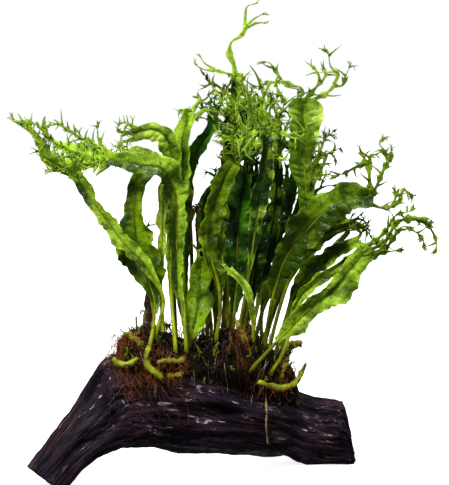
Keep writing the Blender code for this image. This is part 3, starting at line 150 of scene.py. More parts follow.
FRONDS = (
    Frond("left_long", "fresh", 8.4,
          ((-34.5, 60, -23), (-34.2, 66, -29.5), (-31.8, 75, -27.5), (-30.5, 83, -25), (-34, 91.5, -26),
           (-41, 102, -28), (-50.5, 111.5, -31), (-58, 122, -33), (-65.5, 131.5, -35),
           (-71.5, 140.5, -37), (-74.5, 145, -38)),
          (((-77, 148.5, -40), (-81, 151, -41)),
           ((-75.5, 150, -40), (-77, 155, -42)),
           ((-73, 149.5, -40), (-71, 154, -42))),
          blade_from=0.28, shape="strap", facing=(20, -15), seed=11),
    Frond("left_crested", "fresh", 13.5,
          ((-19.2, 54, -21), (-19.2, 60, -27.5), (-20.4, 72, -25), (-22, 84, -22), (-23.5, 93, -21),
           (-24, 113, -22), (-24, 130.5, -23), (-26, 143, -26), (-32, 149.5, -29),
           (-41, 151, -30), (-51, 152.5, -31), (-57.5, 153.5, -31)),
          (((-61.5, 154, -31), (-65.5, 154.5, -31.5), (((-70, 152, -32), (-75, 150.5, -32),
            (((-83, 150.5, -33), (-89.5, 154, -34), (-93, 161, -36), (-96.5, 168, -36),
            (-99, 172, -35), (-106, 172.5, -34)), ((-83, 154, -32), (-88.5, 157.5, -33),
            (-90, 163, -33)), ((-82, 148.5, -33), (-86, 147.5, -33), (-90, 147, -33)))),
            ((-70, 157, -31), (-76, 158.5, -32), (-84, 161, -33), (-89, 165.5, -34),
            (-92.5, 170, -34), (-97, 171.5, -35)))),
           ((-63, 159, -29.5), (-67, 162, -29), (-72, 164, -29), (-77, 167.5, -29), (-83, 171, -30),
            (-89, 169.5, -31)),
           ((-61, 160, -28), (-63, 164, -27), (-63.8, 172.5, -27))),
          blade_from=0.28, shape="late", facing=(-8, 24), seed=12, arm_widths=(6.4, 1.7, 1.3)),
    Frond("left_upright", "fresh", 9.6,
          ((-18, 58, -14), (-19.5, 83, -13), (-20.5, 108, -13), (-20.5, 133, -13), (-21.5, 153, -14),
           (-21.5, 163, -15), (-19.5, 170, -15), (-17, 175, -15)),
          (((-19, 178, -16), (-23.5, 177, -18)),
           ((-14, 181, -14), (-9, 184, -15), (-5, 189, -16)),
           ((-10, 178, -14), (-4, 177, -15), (2, 175, -16))),
          blade_from=0.4, shape="strap", facing=(10, -25), seed=13),
    Frond("left_curl", "bright", 10.0,
          ((-24.5, 54, -26), (-24.6, 60, -31.5), (-25.5, 70, -28), (-26.5, 83, -21), (-27, 95, -18),
           (-27, 108, -17), (-27, 133, -17), (-26.5, 150.5, -18), (-27.3, 159.4, -20),
           (-31, 166, -22), (-37, 168, -23), (-44.5, 166.2, -24)),
          (((-49, 162.5, -26), (-53, 160.5, -27)),
           ((-50, 167, -26), (-53.5, 167.5, -27), (-52, 173, -26)),
           ((-48, 171, -24), (-51.5, 172, -22))),
          blade_from=0.33, shape="late", facing=(25, -20), seed=14),
    Frond("left_bright", "bright", 5.6,
          ((-29.5, 54, -11), (-31, 73, -10), (-32, 93, -10), (-31.2, 113, -10), (-30.5, 133, -11),
           (-30, 143, -12), (-32, 151, -14), (-38, 155, -17), (-46, 156.5, -19)),
          (((-52, 153.5, -20), (-57, 154.5, -21)),
           ((-50.5, 157.5, -20), (-54.5, 160.5, -20))),
          blade_from=0.34, shape="strap", facing=(-20, 15), seed=15),
    Frond("left_broad", "olive", 17.0,
          ((-37.8, 56, -30), (-37.2, 61, -34.5), (-35.6, 70, -30), (-35.2, 83, -22), (-38, 92.5, -19),
           (-41, 102, -19), (-44, 113, -19), (-45, 125.5, -19), (-44.5, 134, -19),
           (-42.5, 142, -17), (-39.5, 147, -15)),
          (((-42, 153, -12), (-46, 159, -10)),
           ((-38, 152, -10), (-36, 157, -8))),
          blade_from=0.31, shape="necked", facing=(10, -10), seed=16),
    Frond("olive_young", "olive", 12.6,
          ((-18, 58, -18), (-17.2, 64, -22), (-14.5, 72.5, -21), (-12.6, 83, -18), (-12, 95.5, -17),
           (-11, 103, -17)),
          (((-13.5, 107, -17), (-15, 110, -17)),
           ((-8.5, 107, -17), (-6.5, 110, -16.5))),
          blade_from=0.27, shape="strap", facing=(5, 12), seed=17),
    Frond("olive_rear", "olive", 8.0,
          ((-16.5, 58, -3), (-18.5, 73, -1), (-20, 88, 1), (-20.5, 101, 2), (-20.5, 114, 3)),
          Fan(2, 7, 40),
          blade_from=0.25, facing=(-60, -45), seed=18),
    Frond("withered", "withered", 3.2,
          ((-10.5, 60, -9), (-11.5, 83, -10), (-13, 106, -11), (-13.5, 118, -12), (-13.5, 127, -12)),
          Fan(2, 6, 40),
          blade_from=0.55, facing=(30, 60), seed=19),
    Frond("dark_wing", "deep", 8.0,
          ((-14.5, 57, -9), (-16, 83, -8), (-16.5, 108, -7), (-17.5, 133, -6), (-17.5, 150, -6),
           (-13.5, 158.8, -7), (-8.8, 165, -8), (-5.2, 172, -8)),
          (((-7.5, 177.5, -9), (-12, 178, -10)),
           ((-3, 178, -9), (-1, 184, -10)),
           ((0, 169, -8), (3.5, 167, -9))),
          blade_from=0.6, facing=(-30, 0), seed=20),
    Frond("mid_toothed", "deep", 8.6,
          ((-6, 61, -5), (-8, 85.5, -3), (-10, 105.5, -2), (-11, 122, -1), (-9, 133, 0), (-5, 140.5, 1)),
          (((-4.5, 145.5, 2), (-4.8, 149, 3)),
           ((-2, 146, 2), (0, 152, 3), (-1, 158, 4))),
          blade_from=0.45, facing=(15, 30), seed=21),
    Frond("mid_olive", "olive", 11.0,
          ((-4.2, 60, -17), (-3.8, 66, -21.5), (-2.2, 78, -19.5), (-3, 90.5, -18), (-6.2, 103, -19.5),
           (-7.5, 114, -20.5), (-6, 125.5, -21), (-3, 135.5, -22), (0.5, 145, -23),
           (3.5, 150, -24)),
          (((0, 156, -26), (-1, 163, -27)),
           ((4, 158, -25), (4.5, 166, -27), (6, 175, -29)),
           ((9, 155, -24), (14, 156, -25))),
          blade_from=0.54, shape="strap", facing=(25, 10), seed=22),
    Frond("mid_dark", "deep", 9.6,
          ((3, 57, -11), (5, 78, -11), (6.5, 93, -12), (6.5, 108, -13), (7, 123, -14), (8.5, 135.5, -15),
           (10, 145, -16)),
          (((7, 151, -17), (5, 156, -19)),
           ((10, 153, -18), (10, 160, -20)),
           ((14, 150, -17), (17, 154, -19))),
          blade_from=0.36, shape="strap", facing=(0, -15), seed=23),
    Frond("mid_low", "olive", 8.0,
          ((-4.5, 60, 3), (-4.5, 78, 3), (-3.5, 95, 2), (-2, 110, 2), (-0.5, 121, 2)),
          Fan(2, 8, 40),
          blade_from=0.42, facing=(-10, 10), seed=47),
    Frond("mid_ridged", "deep", 9.0,
          ((8, 58, -4), (11.5, 80.5, -5), (15, 100.5, -6), (16.5, 118, -7), (16.5, 133, -8),
           (16, 144, -9)),
          (((12.5, 151, -7), (11, 158, -6)),
           ((16, 152, -7), (16, 160, -6)),
           ((20, 150, -8), (24, 155, -8))),
          blade_from=0.48, shape="strap", facing=(15, 5), seed=24),
    Frond("tall_tendril", "bright", 5.0,
          ((-0.5, 60, -3), (1.5, 83, -2), (3, 108, -1), (4.5, 133, 0), (5.8, 158, 1), (6.2, 178, 1),
           (5.5, 188, 0), (5.6, 195, 0)),
          (((2, 196, -2), (-5, 198, -3), (((-11, 198.5, -4), (-15.5, 201.5, -5)), ((-10, 201.5, -3),
            (-13, 206.5, -3)))),
           ((4.5, 201, -1), (2.5, 206, -2), (3.5, 212, -2), (8, 215, -1), (11, 220, 0), (((10.5, 226, 1),
            (11.5, 230, 1), (17, 231.5, 2)), ((14.5, 223.5, 0), (21, 227, 0)),
            ((16, 221.5, -1), (21.5, 221.5, -2)))),
           ((9, 193, 0), (11.5, 196.5, 1))),
          blade_from=0.66, facing=(20, 0), seed=25, arm_widths=(2.0, 2.4, 4.2), bare=True),
    Frond("crown_left", "fresh", 7.6,
          ((-1.5, 60, 5), (0, 83, 6), (1.5, 110, 7.5), (2.8, 133, 8), (4, 150, 8), (5.5, 162, 8),
           (6.8, 171, 8)),
          (((3, 176, 6), (-3, 178, 5), (-9, 178.5, 4), (-12, 181.5, 4), (-13, 185, 4)),
           ((4, 182, 7), (-1, 188, 6), (-5, 191, 5), (-8.5, 192.5, 5), (-10.5, 197, 5)),
           ((9, 180, 8), (11.5, 184, 9), (8, 187, 9), (2, 187.5, 8), (-4, 185.5, 6), (-8, 181, 5)),
           ((13, 176, 8), (18, 173, 7))),
          blade_from=0.5, facing=(-35, -10), seed=26, arm_widths=(3.2, 2.8, 4.2, 2.6)),
    Frond("crown_mid", "bright", 7.0,
          ((6, 61, -8), (10, 83, -15), (14, 108, -18), (17, 130, -19), (20.5, 147, -20), (21.5, 158, -20),
           (22, 165, -20)),
          (((17, 168, -22), (11, 165, -24), (7, 162, -26)),
           ((18.5, 173, -22), (15, 180, -24), (12, 186, -26)),
           ((20.5, 176, -22), (20, 184, -23), (17.5, 189.5, -24)),
           ((22.5, 176, -21), (24, 182, -22), (27, 186, -23)),
           ((26.5, 172, -22), (29, 178, -24), (30.5, 184, -27)),
           ((29, 166.5, -23), (34, 164, -28), (40, 164, -30))),
          blade_from=0.5, facing=(-15, 15), seed=27),
    Frond("crown_lace", "fresh", 7.0,
          ((0.5, 61, -6), (3.5, 83, -7), (8, 108, -9), (10, 130, -11), (11.5, 146, -12), (12, 156, -12)),
          (((8, 161, -13), (2, 163, -14), (-3, 161, -15)),
           ((10, 167, -12), (6, 174, -12), (((1, 178, -13), (-2, 182, -14)), ((6, 182, -11),
            (8, 188, -12)))),
           ((12.2, 168, -11.5), (12.6, 178, -12), (12.5, 187, -13)),
           ((14, 167, -11), (16, 177, -11), (18.5, 185, -12)),
           ((17, 161, -12), (23, 157, -13), (26, 153, -14))),
          blade_from=0.45, facing=(10, 10), seed=48),
    Frond("crown_dark", "deep", 8.0,
          ((-8.5, 60, 5), (-8.5, 83, 9), (-6, 110, 12), (-2, 135, 13), (1.5, 153, 13), (4, 165, 12)),
          (((-2, 172, 11), (-6, 176, 10), (-9, 180, 8)),
           ((4, 175, 11), (4, 183, 10)),
           ((9, 172, 12), (13, 178, 12), (17, 181, 11))),
          blade_from=0.4, facing=(-10, 20), seed=49),
    Frond("crown_rear", "fresh", 8.6,
          ((10, 60, 3), (13, 78, 4), (19, 98, 5), (23.5, 118, 5), (26, 135, 4), (26, 150, 3),
           (27, 160, 2)),
          (((22, 168, 1), (17, 176, 0), (13, 177, -1)),
           ((26, 171, 1), (25, 181, 0)),
           ((31, 170, 1), (35, 178, 0)),
           ((33, 162, 1), (37, 158, 0))),
          blade_from=0.35, facing=(10, -20), seed=28),
    Frond("dark_lean", "deep", 11.0,
          ((6.5, 62, 4), (12.5, 83, 8), (19, 100.5, 11), (25, 115.5, 13), (30, 130.5, 15),
           (33.5, 142, 16)),
          (((31, 149, 16), (28, 156, 16)),
           ((35, 151, 17), (37, 160, 17)),
           ((39.5, 147, 17), (43, 151, 17))),
          blade_from=0.42, facing=(-25, -5), seed=29),
    Frond("dark_right", "deep", 8.0,
          ((14, 57, 3), (20.5, 83, 2), (29, 102, 1), (35, 118, 0), (40, 133, 0), (43, 144, 1)),
          (((42.5, 151, 2), (45, 158, 2), (46.5, 165, 2)),
           ((46, 152, 0), (48.5, 159, 1), (50.5, 164, 2), (56, 168, 0)),
           ((49, 150, 0), (51.5, 156, -1), (58, 159, -2))),
          blade_from=0.42, facing=(15, 10), seed=30, arm_widths=(2.7, 4.0, 3.4)),
    Frond("right_quilted", "bright", 17.6,
          ((17.5, 55, -5), (24, 78, -8), (31, 98, -12), (37, 118, -16), (40.6, 134, -19),
           (40.0, 150.5, -21), (39.4, 166, -22), (39.4, 182.5, -22)),
          (((38.5, 188.5, -20), (33, 190.5, -18), (28, 192.5, -17), (((22, 191.5, -17), (15, 189, -18),
            (10.5, 184, -19)), ((26, 197, -17), (22.5, 201.5, -18), (17.5, 202, -18)))),
           ((45, 188.5, -20), (48, 192, -19), (((46.5, 197, -19), (42, 201.5, -18)), ((50.5, 196, -18),
            (48.5, 201, -17)))),
           ((51, 186.5, -22), (55, 190.5, -22), (((56.5, 195.5, -21), (53, 200, -20), (51.5, 207, -20),
            (47, 209, -20)), ((59, 190.5, -23), (61, 196, -23), (63.8, 202, -22))))),
          blade_from=0.52, shape="broad_top", facing=(-5, 5), seed=31),
    Frond("right_big", "olive", 15.5,
          ((19.5, 55, -9), (22, 73, -12), (25, 88, -15), (31, 104, -20), (39, 115, -24), (47, 124, -27),
           (55, 130.5, -29), (64, 134, -31), (73, 134, -32)),
          (((72.5, 143, -31), (72, 151, -30), (((67, 150, -30), (59, 146, -29), (52, 143.5, -28)),
            ((69, 155, -29), (67.8, 158.5, -29)), ((73, 155, -31), (77, 156, -31)))),
           ((76, 140, -32), (79, 147, -32), (82, 152.5, -32), (((79.5, 158, -30), (77.5, 161.5, -29),
            (81.5, 165, -28)), ((83.5, 154, -33), (83.5, 159, -33)))),
           ((79, 129, -33), (84, 130, -34), (((85.5, 134.5, -33), (84.8, 139, -33)), ((88, 133, -35),
            (89, 138, -34), (92.5, 136.5, -33), (95, 132, -32))))),
          blade_from=0.36, shape="strap", facing=(12, -12), seed=32),
    Frond("right_low", "fresh", 16.0,
          ((12.5, 46, -20), (14.5, 49.5, -26), (20, 55.5, -26), (26, 62, -24), (32, 68, -24.5),
           (38.5, 75, -26), (46.5, 82, -30), (55, 89.5, -33), (62.5, 98, -35),
           (69.5, 105.5, -36)),
          (((76, 113, -36), (82.5, 120, -36), (86, 125.5, -36), (93, 127.5, -35), (95, 132, -34)),
           ((80, 112, -37), (86, 121.5, -38), (94, 124, -37), (((101, 121, -36), (105.4, 114, -35),
            (105.6, 108, -34), (103.5, 104.5, -34)), ((102, 123.5, -37), (104, 121, -37)))),
           ((81, 109.5, -38), (88, 119, -40), (93, 118.5, -40), (99, 113.5, -39), (100, 107, -38)),
           ((78, 106.5, -37), (85, 107.5, -38), (90, 108, -39))),
          blade_from=0.35, shape="strap", facing=(-10, 20), seed=33),
    Frond("right_upper_mid", "olive", 7.0,
          ((21.5, 55, 2), (27, 77, 2), (33, 94.5, 1), (41, 108, -3), (49, 114.5, -7), (57.5, 119, -11),
           (64, 121, -14)),
          Fan(2, 11, 70),
          blade_from=0.48, facing=(0, 20), seed=34),
    Frond("right_lower_mid", "fresh", 9.0,
          ((24.5, 51, -1), (30, 72, -4), (35.5, 87, -7), (43.5, 98.5, -11), (52, 105, -15),
           (60, 109, -19), (66, 112, -22)),
          Fan(2, 11, 70),
          blade_from=0.42, facing=(10, -15), seed=35),
    Frond("right_low_thin", "fresh", 6.0,
          ((22.5, 44.5, -15), (24, 48, -20.5), (28.5, 55, -18), (31.5, 63, -14), (34, 75, -13),
           (38, 84.5, -17), (45.5, 91.5, -21), (53, 97, -24), (61, 102.5, -27)),
          Fan(2, 9, 50),
          blade_from=0.43, facing=(-15, 10), seed=36),
    Frond("right_behind", "fresh", 9.0,
          ((27, 52, 8), (32, 73, 9), (37, 92, 9), (43.5, 108, 8), (51, 117, 6), (60, 123, 4)),
          Fan(2, 14, 90),
          blade_from=0.4, facing=(45, 30), seed=37),
    Frond("mid_arched", "bright", 4.6,
          ((14.5, 55, -13), (14.3, 72, -17), (12.5, 83, -20), (9, 92, -21), (3.5, 97, -22)),
          Fan(2, 6, 40),
          blade_from=0.3, shape="strap", facing=(15, 20), seed=38),
    Frond("pale_left", "bright", 4.2,
          ((15, 56, 9), (14, 75, 12), (12, 90, 15), (11, 100, 18), (12, 110, 21)),
          Fan(2, 8, 50),
          blade_from=0.3, facing=(-40, -40), seed=39),
    Frond("pale_right", "bright", 4.2,
          ((19, 55, 7), (18.5, 72, 9), (19.5, 85, 12), (22.5, 95, 15), (26, 103, 18)),
          Fan(2, 8, 50),
          blade_from=0.3, facing=(35, 20), seed=40),
    Frond("rear_left", "fresh", 9.0,
          ((-24, 57, -4), (-25, 83, 0), (-26, 108, 6), (-26, 128, 13), (-25, 144, 20)),
          Fan(2, 20, 90),
          blade_from=0.35, facing=(55, 70), seed=41),
    Frond("rear_mid", "deep", 10.0,
          ((3, 60, 8), (4, 83, 13), (5, 106, 19), (7, 126, 26), (9, 143, 33)),
          Fan(2, 20, 90),
          blade_from=0.35, facing=(-50, -65), seed=42),
    Frond("rear_centre", "fresh", 10.0,
          ((12, 57, 11), (16, 78, 17), (20, 98, 23), (24, 115, 30), (27, 129, 37)),
          Fan(2, 20, 90),
          blade_from=0.35, facing=(40, 55), seed=43),
    Frond("rear_right", "deep", 10.0,
          ((18, 54, 12), (25, 78, 17), (32, 98, 23), (37.5, 116, 28), (41, 134, 33)),
          Fan(2, 18, 90),
          blade_from=0.35, facing=(-55, -35), seed=44),
    Frond("rear_far_right", "fresh", 9.0,
          ((24, 53, 11), (33, 76, 14), (43, 94, 18), (53, 107, 23), (61, 117, 28)),
          Fan(2, 17, 90),
          blade_from=0.35, facing=(45, 60), seed=45),
    Frond("rear_low_left", "olive", 7.0,
          ((-32, 56, -3), (-36, 74, 3), (-39, 90, 10), (-41, 104, 17), (-41, 116, 24)),
          Fan(2, 14, 70),
          blade_from=0.35, facing=(60, 70), seed=46),
)

# Driftwood limb: its upper and lower outline as seen, its middle's depth and half its thickness
# from front to back, from the cut end of the leg on the left to the broken end on the right.
LIMB = (
    ((-98.2, -0.8), (-81.0, -13.5), -41.0, 9.5),
    ((-91.2, 8.5), (-73.7, -4.5), -38.0, 10.5),
    ((-83.7, 18.7), (-65.9, 2.9), -35.0, 11.0),
    ((-77.4, 26.2), (-59.4, 6.8), -32.0, 12.0),
    ((-72.7, 33.0), (-52.0, 9.2), -29.0, 13.0),
    ((-67.7, 41.7), (-44.2, 10.0), -26.0, 14.5),
    ((-63.2, 50.0), (-37.2, 10.0), -23.0, 16.0),
    ((-57.2, 54.0), (-30.2, 8.6), -20.0, 17.0),
    ((-49.2, 56.2), (-23.2, 6.6), -17.5, 18.0),
    ((-38.2, 56.0), (-16.2, 7.1), -15.0, 18.5),
    ((-25.7, 54.0), (-8.2, 7.1), -12.0, 19.0),
    ((-13.2, 51.0), (0.7, 6.8), -8.5, 19.0),
    ((-0.7, 48.0), (9.7, 6.2), -5.0, 18.5),
    ((11.7, 44.5), (18.7, 5.5), -1.5, 18.0),
    ((22.7, 41.0), (25.7, 5.7), 1.5, 17.0),
    ((30.7, 38.0), (30.7, 5.2), 4.5, 16.5),
    ((36.7, 36.3), (35.2, 3.0), 7.0, 16.5),
    ((43.2, 33.9), (40.7, 0.5), 9.5, 17.0),
    ((50.2, 32.7), (48.7, -0.4), 11.5, 17.0),
    ((57.2, 31.7), (56.7, -1.2), 13.0, 16.5),
    ((59.4, 30.8), (62.6, -1.8), 14.0, 16.0),
    ((63.0, 22.0), (65.4, -2.2), 14.5, 14.5),
)

# The dark slot in the limb's face: its middle as seen, half its length and height, its depth.
HOLLOW = ((-2.0, 28.0), 12.0, 3.0, 4.5)

# The root mat over the limb: shares of the limb's length where it starts and ends, its height
# above the bark along it, and how far round the top it reaches, behind and in front.
MAT_SPAN = (0.357, 0.765)
MAT_HEIGHTS = ((0.0, 0.6), (0.05, 3.0), (0.12, 10.0), (0.28, 14.0), (0.36, 9.0), (0.45, 10.0),
               (0.52, 16.0), (0.58, 24.0), (0.68, 25.0), (0.76, 17.0), (0.9, 13.0), (1.0, 2.0))
MAT_BEHIND = math.radians(62)
MAT_FRONT = math.radians(58)
LUMPS_ALONG, LUMPS_ROUND = 13, 7

# The distance between a blade's side veins, for each look of the leaves.
VEIN_GAPS = {"bright": 4.6, "fresh": 5.2, "deep": 4.4, "olive": 5.6, "withered": 4.0,
             "crown": 5.0}

# Lines on the limb's face, as seen: the groove below the broken band, and the dark slot.
GROOVE = ((12.75, 35.5), (23.75, 33.0), (40.0, 28.0), (58.25, 22.5))
SLOT = ((-10.0, 29.0), (-2.0, 28.0), (9.0, 25.5))

# The young curled fronds: places as seen, and radii.
CROZIERS = {
    "left": (((-43.8, 60, -22), (-43.8, 66, -21.5), (-44.2, 74.8, -21)), (0.8, 0.6, 0.45)),
    "right": (((-40.0, 64, -12), (-40.6, 70, -13), (-39.8, 75, -14), (-40.4, 77.6, -14),
               (-42.0, 77.2, -14), (-41.6, 75.9, -14)), (0.8, 0.7, 0.6, 0.6, 0.5, 0.4)),
}


def seen(across, up, back):
    """The point in the row frame that is seen at this place, at this depth."""
    cos, sin = math.cos(VIEW_TILT), math.sin(VIEW_TILT)
    above = up - VIEW_MIDDLE_UP
    middle_z = VIEW_MIDDLE_UP / (cos - VIEW_MIDDLE_UP * sin / VIEW_DISTANCE)
    rise = above * (1 + back * cos / VIEW_DISTANCE) - back * sin
    z = rise / (cos + above * sin / VIEW_DISTANCE)
    scale = (VIEW_DISTANCE + back * cos - z * sin) / VIEW_DISTANCE
    return Vector((across * scale - ORIGIN_ACROSS, back - ORIGIN_BACK, z + middle_z)) * MM


VIEW_DIRECTION = Vector((0, math.cos(VIEW_TILT), -math.sin(VIEW_TILT)))


def spline(points, share):
    """A point on the smooth curve through all the points."""
    place = min(max(share, 0.0), 1.0) * (len(points) - 1)
    index = min(int(place), len(points) - 2)
    t = place - index
    p1, p2 = points[index], points[index + 1]
    p0 = points[index - 1] if index else p1 * 2 - p2
    p3 = points[index + 2] if index + 2 < len(points) else p2 * 2 - p1
    bend = (p0 - p1 * 2.5 + p2 * 2 - p3 * 0.5) * t * t + (p1 * 1.5 - p0 * 0.5 - p2 * 1.5 + p3 * 0.5) * t**3
    return p1 + (p2 - p0) * 0.5 * t + bend


class Route:
    """A smooth curve with even steps along its length."""

    STEPS = 160

    def __init__(self, points):
        self.fine = [spline(points, step / self.STEPS) for step in range(self.STEPS + 1)]
        self.reach = [0.0]
        for a, b in zip(self.fine, self.fine[1:]):
            self.reach.append(self.reach[-1] + (b - a).length)
        self.length = self.reach[-1]

    def at(self, share):
        """The point at this share of the length."""
        wanted = min(max(share, 0.0), 1.0) * self.length
        index = min(max(bisect_left(self.reach, wanted) - 1, 0), self.STEPS - 1)
        step = self.reach[index + 1] - self.reach[index]
        return self.fine[index].lerp(self.fine[index + 1], (wanted - self.reach[index]) / step)

    def direction(self, share):
        """Which way the curve runs there."""
        return (self.at(min(share + 0.01, 1.0)) - self.at(max(share - 0.01, 0.0))).normalized()


def waver(x, y, z=0.0):
    """A smooth random value between -1 and 1 for a place."""
    return noise.noise(Vector((x, y, z)))


def interpolate(pairs, share):
    """The value at this share of a list of (share, value) pairs."""
    for (low, first), (high, second) in zip(pairs, pairs[1:]):
        if share <= high:
            blend = (share - low) / (high - low)
            return first + (second - first) * blend
    return pairs[-1][1]


def rounded(pairs, share):
    """The same value with the corners of the list's outline rounded off."""
    offsets = (-0.07, -0.035, 0.0, 0.035, 0.07)
    low, high = pairs[0][0], pairs[-1][0]
    return sum(interpolate(pairs, min(max(share + offset, low), high)) for offset in offsets) / 5


def side_and_face(direction, turn):
    """The sideways vector and the facing one of a blade that runs this way, turned by an angle."""
    side = VIEW_DIRECTION.cross(direction).normalized()
    side.rotate(Matrix.Rotation(turn, 3, direction))
    return side, side.cross(direction).normalized()


# Where a stalk starts and how a crest's twigs sit: the same rules as the solids follow.

def node_tree(names):
    """The surfaces of these CAD nodes, for finding what is nearest."""
    trees = []
    for name in names:
        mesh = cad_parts[name].data
        points = [vertex.co for vertex in mesh.vertices]
        trees.append(BVHTree.FromPolygons(points, [tuple(face.vertices) for face in mesh.polygons]))
    return trees


def rooted(points, carriers):
    """The same points, with one more where the stalk would meet what it grows from."""
    way = (points[0] - points[1]).normalized()
    for direction in (way, Vector((0, 0, -1))):
        hits = [tree.ray_cast(points[0], direction) for tree in carriers]
        hits = [hit for hit in hits if hit[0] is not None and hit[3] < 30 * MM]
        if hits:
            return [min(hits, key=lambda hit: hit[3])[0]] + points
    return points


def rooted_share(route, carriers, radius=STALK_WIDTH / 2):
    """The share of the route where a stalk is just clear of the roots, wood and stems below it."""
    clearance = (radius + TOUCH_GAP) * MM
    last_touch = 0.0
    steps = 250
    for step in range(steps // 2):
        point = route.at(step / steps)
        if any(tree.find_nearest(point)[3] < clearance for tree in carriers):
            last_touch = step / steps
    return last_touch + 2 / steps


def fan_arms(fan, tip, direction, side, face, chance):
    """The arms of a fan crest, from the blade's left edge to its right one."""
    arms = []
    for index in range(fan.arms):
        spread = math.radians(fan.spread)
        angle = spread * (index / max(fan.arms - 1, 1) - 0.5)
        way = direction * math.cos(angle) + side * math.sin(angle)
        reach = fan.reach * MM * chance.uniform(0.8, 1.1)
        lift = face * chance.uniform(-0.35, 0.35)
        sag = Vector((0, 0, -fan.droop))
        arms.append([tip + (way + lift * share + sag * share * share) * reach * share
                     for share in (0.35, 0.7, 1.0)])
    return arms


def seen_arm(arm):
    """An arm's places in the row frame; its last entry may hold more arms."""
    if isinstance(arm[-1][0], tuple):
        return [seen(*place) for place in arm[:-1]] + [[seen_arm(fork) for fork in arm[-1]]]
    return [seen(*place) for place in arm]


def twig_plan(length, chance):
    """Where an arm's main twigs sit, as shares of its length, and which side they are on."""
    count = max(1, min(4, round(length / (TWIG_SPACING * MM))))
    plan = []
    leftward = chance.random() < 0.5
    for index in range(count):
        share = (index + 0.75 + chance.uniform(-0.15, 0.15)) / (count + 0.6)
        plan.append((share, leftward, chance.uniform(*TWIG_REACH) * MM, chance.uniform(-0.35, 0.35)))
        leftward = not leftward
    return plan


# Making meshes.

class Strips:
    """Thin strips of leaf that are grown row by row. Each point has a place on the leaf: how far
    from the midrib and how far along in millimetres, and how young it is, from 0 to 1."""

    def __init__(self):
        self.points = []
        self.places = []
        self.faces = []

    def row(self, points, places):
        """Adds a row of three points and returns their numbers."""
        first = len(self.points)
        self.points += points
        self.places += places
        return range(first, first + 3)

    def join_rows(self, rows):
        """Adds the faces between rows of three points."""
        for low, high in zip(rows, rows[1:]):
            for j in range(2):
                self.faces.append((low[j], low[j + 1], high[j + 1], high[j]))

    def ribbon(self, middles, halves, face, ages, keel=0.0):
        """A ribbon through these middles. Its middle line is raised by keel to make it a gutter."""
        rows = []
        last = len(middles) - 1
        for index, (middle, half) in enumerate(zip(middles, halves)):
            ahead = middles[min(index + 1, last)] - middles[max(index - 1, 0)]
            side = ahead.cross(face).normalized()
            young = ages[0] + (ages[1] - ages[0]) * index / last
            rows.append(self.row([middle - side * half, middle - face * keel * half, middle + side * half],
                                 [(across, 0.0, young) for across in (-half / MM, 0.0, half / MM)]))
        self.join_rows(rows)

    def web(self, first, second, reach, young):
        """A web between two arms from their fork on, with a hollow end."""
        rows = []
        steps = 5
        for index in range(steps + 1):
            share = reach * index / steps
            low, high = first.at(share), second.at(share)
            middle = low.lerp(high, 0.5).lerp(first.at(0.0), 0.35 * (index / steps) ** 2)
            rows.append(self.row([low, middle, high],
                                 [(-1.0, index, young), (0.0, index, young - 0.2), (1.0, index, young)]))
        self.join_rows(rows)

    def round_stem(self, middles, radii, along, ages, sides=6):
        """A closed round stem through these middles, with the place that it starts at and the
        age of each of its rows."""
        first = len(self.points)
        count = len(middles)
        for index, (middle, radius) in enumerate(zip(middles, radii)):
            ahead = (middles[min(index + 1, count - 1)] - middles[max(index - 1, 0)]).normalized()
            side, face = side_and_face(ahead, 0.0)
            for k in range(sides):
                turn = math.tau * k / sides
                self.points.append(middle + (side * math.cos(turn) + face * math.sin(turn)) * radius)
                self.places.append((0.0, along + index, ages[index]))
        for i in range(count - 1):
            for j in range(sides):
                k = (j + 1) % sides
                low, high = first + i * sides, first + (i + 1) * sides
                self.faces.append((low + j, low + k, high + k, high + j))
        self.faces.append(tuple(first + j for j in reversed(range(sides))))
        self.faces.append(tuple(first + (count - 1) * sides + j for j in range(sides)))

    def piece(self, name):
        """The strips as an object of their own."""
        mesh = bpy.data.meshes.new(name)
        mesh.from_pydata(self.points, [], self.faces)
        write_places(mesh, self.places)
        thing = bpy.data.objects.new(name, mesh)
        bpy.context.scene.collection.objects.link(thing)
        return thing


def write_places(mesh, places):
    """Keeps each point's place on its piece for the materials to read."""
    attribute = mesh.attributes.new("place", "FLOAT_VECTOR", "POINT")
    for point, place in zip(attribute.data, places):
        point.vector = place


def only(*things):
    """Selects these objects and nothing else."""
    bpy.ops.object.select_all(action="DESELECT")
    for thing in things:
        thing.select_set(True)
    bpy.context.view_layer.objects.active = things[0]


def add_grid(name, columns, rows, spot):
    """A grid primitive whose points are each moved to a spot, with a place for the materials."""
    bpy.ops.object.select_all(action="DESELECT")
    bpy.ops.mesh.primitive_grid_add(x_subdivisions=columns, y_subdivisions=rows, size=1.0)
    thing = bpy.context.active_object
    thing.name = name
    places = []
    for vertex in thing.data.vertices:
        vertex.co, place = spot(vertex.co.x + 0.5, vertex.co.y + 0.5)
        places.append(place)
    write_places(thing.data, places)
    return thing


def close_seams(thing, gap=0.01 * MM):
    """Merges the points that meet along a seam or at a pole, and turns the faces outwards."""
    only(thing)
    bpy.ops.object.mode_set(mode="EDIT")
    bpy.ops.mesh.select_all(action="SELECT")
    bpy.ops.mesh.remove_doubles(threshold=gap)
    bpy.ops.mesh.normals_make_consistent(inside=False)
    bpy.ops.object.mode_set(mode="OBJECT")


def thicken(thing, thickness):
    """Gives a sheet its thickness."""
    wall = thing.modifiers.new("Thickness", "SOLIDIFY")
    wall.thickness = thickness * MM
    wall.offset = 0.0
    only(thing)
    bpy.ops.object.modifier_apply(modifier=wall.name)


def soften(thing, levels=1):
    """Rounds a piece off by subdividing its surface."""
    finer = thing.modifiers.new("Rounding", "SUBSURF")
    finer.levels = finer.render_levels = levels
    only(thing)
    bpy.ops.object.modifier_apply(modifier=finer.name)


